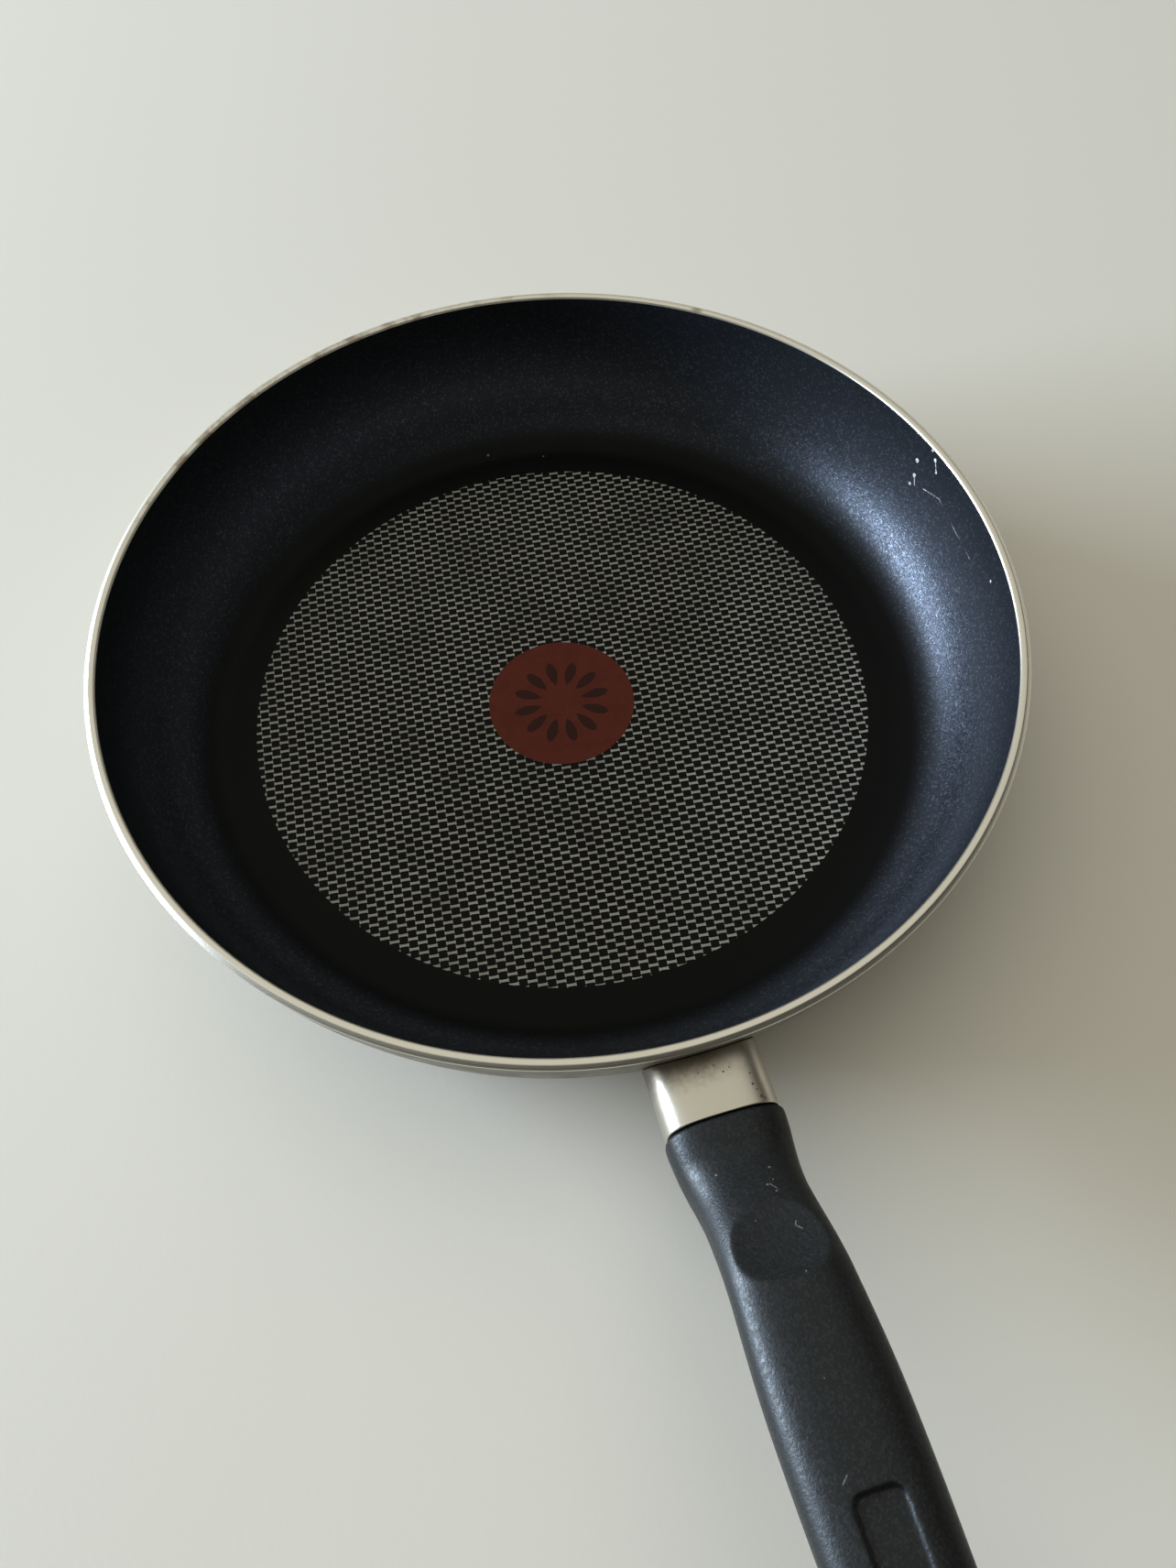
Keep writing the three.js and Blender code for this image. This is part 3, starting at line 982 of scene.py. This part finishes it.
class PAN_OT_print(bpy.types.Operator):
    """Model one printed bar, repeat it over the base and take away what lies outside the print"""

    bl_idname = "pan.print"
    bl_label = "Printed lattice"

    # Where a bar's waist ends and its full width begins, as shares of half its length
    WAIST_SHARE = 0.62
    END_SHARE = 0.86
    EDGE_STEPS = 360

    def bar(self, sizes, pan):
        """One bar, narrow in its middle and wide at its ends."""
        half = sizes.bar_length / 2
        waist, end = sizes.bar_waist / 2, sizes.bar_end / 2
        side = [(waist, 0.0), (waist, self.WAIST_SHARE), (end, self.END_SHARE), (end, 1.0)]
        quarter = [Vector((x, share * half, pan.base)) for x, share in side]

        def mirrored(points, x, y):
            return [Vector((p.x * x, p.y * y, p.z)) for p in points]

        loop = mirrored(quarter, 1, 1) + mirrored(quarter[::-1], -1, 1)
        loop += mirrored(quarter[1:], -1, -1) + mirrored(quarter[:0:-1], 1, -1)
        loop.append(loop[0])
        bar = plate("print_bars", loop, sizes.film)
        finish_edit()
        return bar

    def repeat(self, bar, sizes):
        """Two rows of bars, set off by half a pitch, repeated over the base."""
        columns = 2 * math.ceil(sizes.radius / sizes.bar_pitch) + 2
        rows = 2 * math.ceil(sizes.radius / (2 * sizes.row_pitch)) + 2
        offsets = [
            (columns, (0, sizes.bar_pitch, 0)),
            (2, (sizes.row_pitch, -sizes.bar_pitch / 2, 0)),
            (rows, (2 * sizes.row_pitch, 0, 0)),
        ]
        for copies, offset in offsets:
            add_modifier(
                bar,
                "ARRAY",
                count=copies,
                use_relative_offset=False,
                use_constant_offset=True,
                constant_offset_displace=offset,
            )
        edit(bar)
        corner = (-rows // 2 * 2 * sizes.row_pitch, -columns // 2 * sizes.bar_pitch, 0)
        bpy.ops.transform.translate(value=corner)
        finish_edit()

    def select_bars(self, bars, corners, test):
        """Select each bar whose middle's distance from the pan's axis passes a test."""
        select_none(bars)
        vertices = bars.data.vertices
        for first in range(0, len(vertices), corners):
            middle = sum((vertices[first + i].co for i in range(corners)), Vector()) / corners
            chosen = test(math.hypot(middle.x, middle.y))
            for index in range(first, first + corners):
                vertices[index].select = chosen
        bpy.ops.object.mode_set(mode="EDIT")

    def trim(self, bars, sizes, corners):
        """Take away the bars outside the print or under the spot, and cut those that cross its edge."""
        half = sizes.bar_length / 2
        under_spot = sizes.spot_radius - half
        self.select_bars(bars, corners, lambda away: not under_spot < away < sizes.radius + half)
        bpy.ops.mesh.delete(type="VERT")
        finish_edit()
        self.select_bars(bars, corners, lambda away: away > sizes.radius - half)
        bpy.ops.mesh.separate(type="SELECTED")
        finish_edit()
        edge_bars = next(p for p in bpy.context.selected_objects if p is not bars)
        clear_selection()
        bpy.ops.mesh.primitive_cylinder_add(
            vertices=self.EDGE_STEPS, radius=sizes.radius, depth=CUTTER_HEIGHT
        )
        cut(edge_bars, bpy.context.active_object, "INTERSECT")
        pick(bars)
        edge_bars.select_set(True)
        bpy.ops.object.join()

    def execute(self, context):
        scene = context.scene
        sizes = scene.print_sizes
        bars = self.bar(sizes, scene.pan_sizes)
        corners = len(bars.data.vertices)
        self.repeat(bars, sizes)
        self.trim(bars, sizes, corners)
        bars.rotation_euler.z = sizes.turned
        settle(bars)
        give(bars, bars_finish(scene.pan_finishes))
        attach(bars, "root")
        return {"FINISHED"}


def spot_finish(name, tint, colours):
    """Printed colour, darkened in clouds and specks."""
    tree = Tree(name)
    cloud = tree.noise(5 * MM, detail=4, roughness=0.6)
    speck = tree.noise(0.35 * MM)
    tone = tree.mix(tree.step(cloud, 0.4, 0.8, 0.0, 0.3), tint, colours.rosette)
    tree.shade(
        base_color=tree.mix(tree.step(speck, 0.55, 0.8, 0.0, 0.4), tone, colours.coating),
        roughness=0.42,
        normal=tree.bump(speck, 0.012 * MM),
        specular_ior_level=0.12,
    )
    return tree


class PAN_OT_spot(bpy.types.Operator):
    """Model the round spot in the middle of the print and the rosette on it"""

    bl_idname = "pan.spot"
    bl_label = "Spot"

    # One side of a petal, as distance from the axis and half its width, in millimetres
    PETAL = ((6.2, 0.0), (8.0, 1.0), (11.0, 1.7), (13.6, 1.2), (14.8, 0.0))

    def disc(self, sizes, pan):
        """The round spot, twice as proud as the bars."""
        clear_selection()
        bpy.ops.mesh.primitive_circle_add(
            vertices=2 * ROUND_STEPS, radius=sizes.spot_radius, fill_type="NGON"
        )
        disc = named("spot")
        edit(disc)
        bpy.ops.transform.translate(value=(0, 0, pan.base))
        extrude((0, 0, 2 * sizes.film))
        face_outwards()
        finish_edit()
        return disc

    def rosette(self, sizes, pan):
        """One petal drawn, given its thickness and spun into a ring of copies."""
        foot = pan.base + 2 * sizes.film
        points = [Vector((x * MM, y * MM, foot)) for x, y in self.PETAL]
        points += [Vector((p.x, -p.y, p.z)) for p in reversed(points[:-1])]
        petal = plate("spot_rosette", points, sizes.film / 2)
        bpy.ops.mesh.spin(
            steps=sizes.petals, angle=FULL_TURN, dupli=True, center=(0, 0, 0), axis=UP
        )
        weld()
        finish_edit()
        return petal

    def execute(self, context):
        scene = context.scene
        sizes, pan, colours = scene.print_sizes, scene.pan_sizes, scene.pan_finishes
        spot = self.disc(sizes, pan)
        give(spot, spot_finish("spot_red", colours.spot, colours))
        rosette = self.rosette(sizes, pan)
        give(rosette, spot_finish("rosette_dark", colours.rosette, colours))
        for piece in (spot, rosette):
            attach(piece, "root")
        return {"FINISHED"}


GUARD_PITS = (
    (142.8, 9.7, 41.2, 0.32),
    (143.3, 10.2, 41.2, 0.2),
    (132.8, 1.2, 41.4, 0.18),
    (134.9, 2.9, 41.5, 0.2),
    (133.6, -2.9, 41.4, 0.16),
    (139.5, 8.6, 41.3, 0.24),
    (136.8, 8.9, 41.3, 0.16),
    (134.2, 4.6, 41.3, 0.14),
    (141.0, 9.1, 41.3, 0.14),
)


def guard_finish(pan, colours):
    """Satin steel, smoked and freckled near the pan and pitted on top."""
    tree = Tree("guard_steel")
    radius, _ = from_axis(tree)
    _, across, _ = tree.split(tree.place)
    brushed = tree.noise(0.5 * MM)
    cloud = tree.noise(1.7 * MM, detail=6, roughness=0.75)
    wander = tree.times(tree.math("SUBTRACT", cloud, 0.5), 6 * MM)
    from_rim = tree.math("ADD", tree.math("SUBTRACT", radius, pan.rim_radius), wander)
    smoke = tree.fall(from_rim, 0.0, 8.4 * MM)
    smoke = tree.times(smoke, tree.step(across, -1 * MM, 10 * MM, 1.0, 0.35))
    freckles = tree.times(
        tree.fall(tree.cells(0.8 * MM), 0.1, 0.22),
        tree.step(tree.noise(5 * MM), 0.46, 0.6),
        tree.fall(from_rim, 4 * MM, 9 * MM),
    )
    pits = tree.marks(GUARD_PITS, 0.12 * MM, seen_from_above=True)
    dark = tree.most(tree.times(smoke, 0.8), tree.times(freckles, 0.5), pits)
    tree.shade(
        base_color=tree.mix(dark, colours.guard, colours.smoke),
        metallic=tree.step(pits, 0.4, 1.0, 1.0, 0.2),
        roughness=tree.blend(dark, tree.vary(brushed, 0.3, 0.36), 0.5),
        normal=tree.bump(brushed, 0.006 * MM),
    )
    return tree


class PAN_OT_guard(bpy.types.Operator):
    """Draw the guard out of its section, hollow it and cut its end to the wall"""

    bl_idname = "pan.guard"
    bl_label = "Flame guard"

    SECTION_STEPS = 24
    LIP_STEPS = 4
    # Rounding of the lip, as a share of the sheet
    LIP_SHARE = 0.4

    def sleeve(self, name, handle, inset, start, end):
        """A closed bar of the guard's section, from one place on the axis to another."""
        piece = rounded_square(name, handle.guard_square, self.SECTION_STEPS)
        width, depth = handle.guard_width - 2 * inset, handle.guard_depth - 2 * inset
        bpy.ops.transform.translate(value=(start, 0, 0))
        stretch_face((1, 1), (width, depth), (start, 0, 0))
        extrude((end - start, 0, 0))
        face_outwards()
        finish_edit()
        return piece

    def plug(self, pan, handle):
        """The pan's outside, a little larger, as a solid that cuts the guard's end."""
        skin = wall_points(pan, pan.wall_steps, handle.seat_gap)
        top = pan.height + pan.wall
        below = -2 * pan.wall
        outline = [Vector((0, below)), Vector((skin[0].x, below)), *skin]
        outline += [Vector((skin[-1].x, top)), Vector((0, top))]
        return turned_solid("plug", [Vector((p.x, 0, p.y)) for p in outline], pan.turned_steps)

    def round_lip(self, guard, handle):
        """Round the sleeve's free edge, outside and inside."""
        end = handle.guard_length
        select_vertices(guard, lambda co: co.x > end - WELD)
        bevel_edges(handle.guard_sheet * self.LIP_SHARE, self.LIP_STEPS)

    def execute(self, context):
        scene = context.scene
        pan, handle = scene.pan_sizes, scene.handle_sizes
        reach = 3 * pan.wall
        guard = self.sleeve("guard", handle, 0, -reach, handle.guard_length)
        core = self.sleeve("core", handle, handle.guard_sheet, -reach - MM, handle.guard_length + MM)
        cut(guard, core)
        self.round_lip(guard, handle)
        place(guard, handle_place(pan, handle))
        cut(guard, self.plug(pan, handle))
        give(guard, guard_finish(pan, scene.pan_finishes))
        smooth(guard, degrees=30)
        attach(guard, "root")
        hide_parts("flame_guard")
        return {"FINISHED"}


GRIP_SPECKS = (
    (163.9, 2.7, 48.4, 0.22),
    (166.0, 3.9, 49.9, 0.2),
    (157.8, -6.9, 44.2, 0.2),
    (159.8, 4.9, 45.5, 0.24),
    (163.0, 4.4, 47.8, 0.14),
    (171.2, -3.0, 52.0, 0.12),
    (185.0, 2.4, 56.0, 0.14),
    (205.4, -2.0, 62.0, 0.12),
)
GRIP_SCRATCHES = (
    ((173.8, 5.1, 53.0), (174.6, 4.7, 53.4), 0.08),
    ((174.6, 4.7, 53.4), (175.8, 5.7, 53.9), 0.08),
    ((163.9, 3.3, 48.4), (165.6, 4.4, 49.6), 0.07),
    ((222.7, -4.4, 65.5), (223.9, -5.7, 65.5), 0.08),
)


def grip_finish(colours):
    """Black moulding with fine bright grains, scuffs, dust and a few scratches."""
    tree = Tree("moulded_grip")
    grain, gloss, _ = tree.split(tree.cells(0.55 * MM, output="Color"))
    glint = tree.step(grain, 0.6, 0.9)
    peel = tree.noise(2.4 * MM)
    scuff = tree.step(tree.noise(1.2 * MM, detail=4, roughness=0.75), 0.70, 0.76)
    dusty = tree.times(scuff, tree.step(tree.noise(22 * MM), 0.5, 0.62))
    specks = tree.marks(GRIP_SPECKS, 0.04 * MM, seen_from_above=True)
    scratched = tree.scratches(GRIP_SCRATCHES, 0.1 * MM, 1.0)
    light = tree.most(tree.times(dusty, 0.5), tree.times(specks, 0.45), tree.times(scratched, 0.35))
    coarse = tree.noise(0.7 * MM, roughness=0.7)
    normal = tree.bump(peel, 0.02 * MM)
    normal = tree.bump(coarse, 0.09 * MM, normal)
    tree.shade(
        base_color=tree.mix(light, tree.mix(glint, colours.grip, colours.glint), colours.dust),
        metallic=tree.times(glint, tree.fall(light, 0.0, 0.1)),
        roughness=tree.step(gloss, 0, 1, 0.4, 0.54),
        normal=normal,
        specular_ior_level=0.46,
        specular_tint=(0.86, 0.94, 1.0),
    )
    return tree


class PAN_OT_grip(bpy.types.Operator):
    """Draw the grip out straight, bend it along its spine, cut it and round what the cuts leave"""

    bl_idname = "pan.grip"
    bl_label = "Grip"

    SECTION_STEPS = 18
    LIP_STEPS = 6
    BODY_STEPS = 110
    END_STEPS = 16
    # A little less than a quarter turn, so that the tip ends in a small face
    END_SWEEP = math.pi / 2.15

    def stations(self, handle, length):
        """Distance, width and depth of each ring, from the tenon to the round end."""
        inset = handle.guard_sheet + handle.seat_gap
        tenon = (handle.guard_width - 2 * inset, handle.guard_depth - 2 * inset)
        rows = [(-handle.tenon, *tenon), (-handle.tenon / 2, *tenon), (0.0, *tenon)]
        for step in range(self.LIP_STEPS + 1):
            angle = step / self.LIP_STEPS * QUARTER_TURN
            distance = handle.lip_round * (1 - math.cos(angle))
            width, depth = grip_section(distance)
            sunk = 2 * handle.lip_round * (1 - math.sin(angle))
            rows.append((distance, width - sunk, depth - sunk))
        start = length - handle.end_round
        for step in range(1, self.BODY_STEPS):
            distance = handle.lip_round + (start - handle.lip_round) * step / self.BODY_STEPS
            rows.append((distance, *grip_section(distance)))
        for step in range(self.END_STEPS + 1):
            share = math.sin(step / self.END_STEPS * self.END_SWEEP)
            roundness = math.sqrt(1 - share**2)
            distance = start + handle.end_round * share
            width, depth = grip_section(distance)
            blunt = 1 + (roundness - 1) * handle.end_blunt
            rows.append((distance, width * roundness, depth * blunt))
        return rows

    def straight(self, handle, length):
        """The grip before it is bent, extruded from ring to ring along X."""
        rows = self.stations(handle, length)
        grip = rounded_square("grip_moulding", handle.grip_square, self.SECTION_STEPS)
        at, size_now = rows[0][0], rows[0][1:]
        bpy.ops.transform.translate(value=(at, 0, 0))
        stretch_face((1, 1), size_now, (at, 0, 0))
        for distance, width, depth in rows[1:]:
            extrude((distance - at, 0, 0))
            at = distance
            stretch_face(size_now, (width, depth), (at, 0, 0))
            size_now = (width, depth)
        face_outwards()
        finish_edit()
        return grip

    def spine(self, handle):
        """The spine as a curve object that the grip is bent along."""
        clear_selection()
        bpy.ops.curve.primitive_bezier_curve_add()
        spine = named("spine")
        spine.data.resolution_u = 64
        spine.data.twist_mode = "Z_UP"
        spine.data.use_path = True
        controls = spine_curves(handle)
        points = spine.data.splines[0].bezier_points
        points.add(len(controls) + 1 - len(points))
        for index, (a, b, c, d) in enumerate(controls):
            for point in points[index], points[index + 1]:
                point.handle_left_type = point.handle_right_type = "FREE"
            points[index].co = a
            points[index].handle_right = b
            points[index + 1].handle_left = c
            points[index + 1].co = d
        first, last = points[0], points[-1]
        first.handle_left = 2 * first.co - first.handle_right
        last.handle_right = 2 * last.co - last.handle_left
        return spine

    def on_crown(self, cutter, handle, distance, sink):
        """Set a cutter down on the grip's top, level with the spine there."""
        point, along = spine_at(handle, distance)
        slope = math.atan2(along.z, along.x)
        up = grip_section(distance)[1] / 2 - sink
        turned = Matrix.Translation(point) @ Matrix.Rotation(-slope, 4, "Y")
        place(cutter, turned @ Matrix.Translation((0, 0, up)))
        return cutter

    def dish(self, handle, cuts):
        """The cutter of the thumb dish, a flattened ball."""
        clear_selection()
        bpy.ops.mesh.primitive_uv_sphere_add(segments=160, ring_count=96, radius=1)
        bowl = named("dish")
        bowl.scale = (cuts.dish_reach, cuts.dish_breadth, cuts.dish_curve)
        bowl.location.z = cuts.dish_curve
        settle(bowl)
        return self.on_crown(bowl, handle, cuts.dish_at, cuts.dish_depth)

    def panel(self, handle, cuts):
        """The cutter of the sunk panel."""
        length, width = cuts.panel_length, cuts.panel_width
        cutter = prism("panel", length, width, cuts.panel_round, CUTTER_HEIGHT)
        return self.on_crown(cutter, handle, cuts.panel_at + length / 2, cuts.panel_depth)

    def hole(self, handle, cuts, length):
        """The cutter of the hanging hole, half of it above the spine and half below."""
        rounding = cuts.hole_width * HOLE_ROUND
        cutter = prism("hole", cuts.hole_length, cuts.hole_width, rounding, HOLE_CUTTER)
        place(cutter, Matrix.Translation((0, 0, -HOLE_CUTTER / 2)))
        distance = length - cuts.hole_edge - cuts.hole_length / 2
        return self.on_crown(cutter, handle, distance, grip_section(distance)[1] / 2)

    def bar(self, name, radius, start, end):
        """A round bar along the handle's axis."""
        clear_selection()
        bpy.ops.mesh.primitive_cylinder_add(
            vertices=ROUND_STEPS,
            radius=radius,
            depth=end - start,
            location=((start + end) / 2, 0, 0),
            rotation=(0, QUARTER_TURN, 0),
        )
        bar = named(name)
        settle(bar)
        return bar

    def screw_way(self, handle, cuts):
        """The cutters of the screw's well and bore and of the boss's pocket."""
        shoulder = handle.guard_length + handle.seat_gap
        seat = shoulder + cuts.screw_web
        well = self.bar("well", cuts.well_radius, seat, seat + handle.bend_run + handle.neck)
        bore = self.bar("bore", cuts.bore_radius, cuts.boss_length - MM, seat + MM)
        start = shoulder - handle.tenon - MM
        depth = cuts.boss_length - start
        pocket = prism("pocket", cuts.boss_depth, cuts.boss_width, POCKET_ROUND, depth)
        place(pocket, Matrix.Translation((start, 0, 0)) @ Matrix.Rotation(QUARTER_TURN, 4, "Y"))
        return [well, bore, pocket]

    def execute(self, context):
        scene = context.scene
        handle, cuts = scene.handle_sizes, scene.cut_sizes
        length = spine_length(handle)
        grip = self.straight(handle, length)
        spine = self.spine(handle)
        add_modifier(grip, "CURVE", object=spine, deform_axis="POS_X")
        bpy.data.objects.remove(spine)
        cutters = [self.dish(handle, cuts), self.panel(handle, cuts)]
        cutters += [self.hole(handle, cuts, length), *self.screw_way(handle, cuts)]
        for cutter in cutters:
            cut(grip, cutter)
        place(grip, handle_place(scene.pan_sizes, handle))
        add_modifier(grip, "REMESH", mode="VOXEL", voxel_size=cuts.grain)
        add_modifier(grip, "SMOOTH", factor=0.5, iterations=4)
        pick(grip)
        bpy.ops.object.shade_smooth()
        give(grip, grip_finish(scene.pan_finishes))
        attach(grip, "root")
        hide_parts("grip")
        return {"FINISHED"}


DULL = (0.1, 0.09, 0.08)


def plain_metal_finish(name, tint, grain):
    """Metal with dull clouds."""
    tree = Tree(name)
    cloud = tree.noise(grain, detail=3)
    tree.shade(
        base_color=tree.mix(tree.step(cloud, 0.4, 0.7, 0.0, 0.3), tint, DULL),
        metallic=1.0,
        roughness=tree.vary(cloud, 0.3, 0.48),
        normal=tree.bump(tree.noise(grain / 8), 0.01 * MM),
    )
    return tree


class PAN_OT_fastening(bpy.types.Operator):
    """Give the boss, washer and screw their metal"""

    bl_idname = "pan.fastening"
    bl_label = "Boss and screw"

    def execute(self, context):
        colours = context.scene.pan_finishes
        boss = plain_metal_finish("cast_boss", colours.rim, 2 * MM)
        steel = plain_metal_finish("plated_steel", colours.steel, 1.5 * MM)
        give(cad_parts["welded_boss"], boss)
        give(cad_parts["washer"], steel)
        give(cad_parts["screw"], steel)
        return {"FINISHED"}


class PAN_OT_stage(bpy.types.Operator):
    """Lay the table, hang the window lamp, light the room and set the camera"""

    bl_idname = "pan.stage"
    bl_label = "Stage"

    # The table in metres, and the camera's sensor in millimetres
    TABLE_SIZE = 24
    SENSOR_WIDTH = 36
    # Sines of the heights between which the pale backdrop goes dark
    HORIZON = (0.1, 0.34)

    def table(self, colours):
        """A wide white top under the pan."""
        clear_selection()
        bpy.ops.mesh.primitive_plane_add(size=self.TABLE_SIZE)
        table = named("table")
        tree = Tree("table_top")
        grain = tree.noise(1.6 * MM, detail=3)
        tree.shade(base_color=colours.table, roughness=0.6, normal=tree.bump(grain, 0.02 * MM))
        give(table, tree)

    def window(self, stage):
        """An area lamp low over the table, turned to the pan."""
        away = Matrix.Rotation(stage.window_heading, 4, "Z") @ Vector((stage.window_distance, 0, 0))
        at = Vector((away.x, away.y, stage.window_rise))
        bpy.ops.object.light_add(type="AREA", location=at)
        lamp = bpy.context.active_object
        lamp.name = "window"
        lamp.data.shape = "RECTANGLE"
        lamp.data.size = stage.window_width
        lamp.data.size_y = stage.window_height
        lamp.data.energy = stage.window_power
        lamp.data.color = stage.window_tint
        lamp.rotation_euler = (-at).to_track_quat("-Z", "Y").to_euler()

    def world(self, scene, stage):
        """A dim room with a pale horizon and a broad soft light overhead."""
        scene.world = bpy.data.worlds.new("room")
        room = RoomTree(scene.world)
        around = Matrix.Rotation(stage.ceiling_heading, 3, "Z")
        middle = around @ Matrix.Rotation(-stage.ceiling_height, 3, "Y") @ Vector((1, 0, 0))
        towards = room.vector("DOT_PRODUCT", room.place, middle, output=1)
        inner, outer = math.cos(stage.ceiling_inner), math.cos(stage.ceiling_outer)
        ceiling = room.step(towards, outer, inner, stage.room_light, stage.ceiling_light)
        height = room.split(room.place)[2]
        horizon = room.step(height, *self.HORIZON, stage.horizon_light, 0.0)
        room.shade(color=stage.room_tint, strength=room.most(ceiling, horizon))

    def camera(self, scene, stage):
        """The camera, turned about the vertical, tilted and rolled."""
        bpy.ops.object.camera_add()
        camera = bpy.context.active_object
        turned = Matrix.Rotation(stage.heading, 4, "Z") @ Matrix.Rotation(stage.tilt, 4, "X")
        turned = turned @ Matrix.Rotation(stage.roll, 4, "Z")
        camera.matrix_world = Matrix.Translation(stage.camera) @ turned
        camera.data.sensor_width = self.SENSOR_WIDTH
        camera.data.lens = stage.lens
        camera.data.clip_start = 10 * MM
        scene.camera = camera

    def execute(self, context):
        scene = context.scene
        scene.view_settings.view_transform = "Standard"
        self.table(scene.pan_finishes)
        clear_selection()
        self.window(scene.stage_sizes)
        self.world(scene, scene.stage_sizes)
        self.camera(scene, scene.stage_sizes)
        return {"FINISHED"}


class PAN_PT_sidebar(bpy.types.Panel):
    """The pan's pieces, in the order in which they are made"""

    bl_idname = "PAN_PT_sidebar"
    bl_label = "Frying pan"
    bl_space_type = "VIEW_3D"
    bl_region_type = "UI"
    bl_category = "Frying pan"

    def draw(self, context):
        for operator in OPERATORS:
            self.layout.operator(operator.bl_idname)
        for name in GROUPS:
            box = self.layout.box()
            group = getattr(context.scene, name)
            box.label(text=type(group).__doc__)
            for key in group.bl_rna.properties.keys():
                if key not in ("rna_type", "name"):
                    box.prop(group, key)


OPERATORS = (
    PAN_OT_stage,
    PAN_OT_bowl,
    PAN_OT_print,
    PAN_OT_spot,
    PAN_OT_guard,
    PAN_OT_grip,
    PAN_OT_fastening,
)
GROUPS = {
    "pan_sizes": PanSizes,
    "print_sizes": PrintSizes,
    "handle_sizes": HandleSizes,
    "cut_sizes": CutSizes,
    "pan_finishes": Finishes,
    "stage_sizes": StageSizes,
}


def register():
    for group in GROUPS.values():
        bpy.utils.register_class(group)
    for operator in OPERATORS:
        bpy.utils.register_class(operator)
    bpy.utils.register_class(PAN_PT_sidebar)
    for name, group in GROUPS.items():
        setattr(bpy.types.Scene, name, bpy.props.PointerProperty(type=group))


def unregister():
    for name in GROUPS:
        delattr(bpy.types.Scene, name)
    bpy.utils.unregister_class(PAN_PT_sidebar)
    for operator in reversed(OPERATORS):
        bpy.utils.unregister_class(operator)
    for group in reversed(list(GROUPS.values())):
        bpy.utils.unregister_class(group)


def main():
    """Model and stage the pan."""
    register()
    bpy.ops.pan.stage()
    bpy.ops.pan.bowl()
    bpy.ops.pan.print()
    bpy.ops.pan.spot()
    bpy.ops.pan.guard()
    bpy.ops.pan.grip()
    bpy.ops.pan.fastening()


if __name__ == "__main__":
    main()
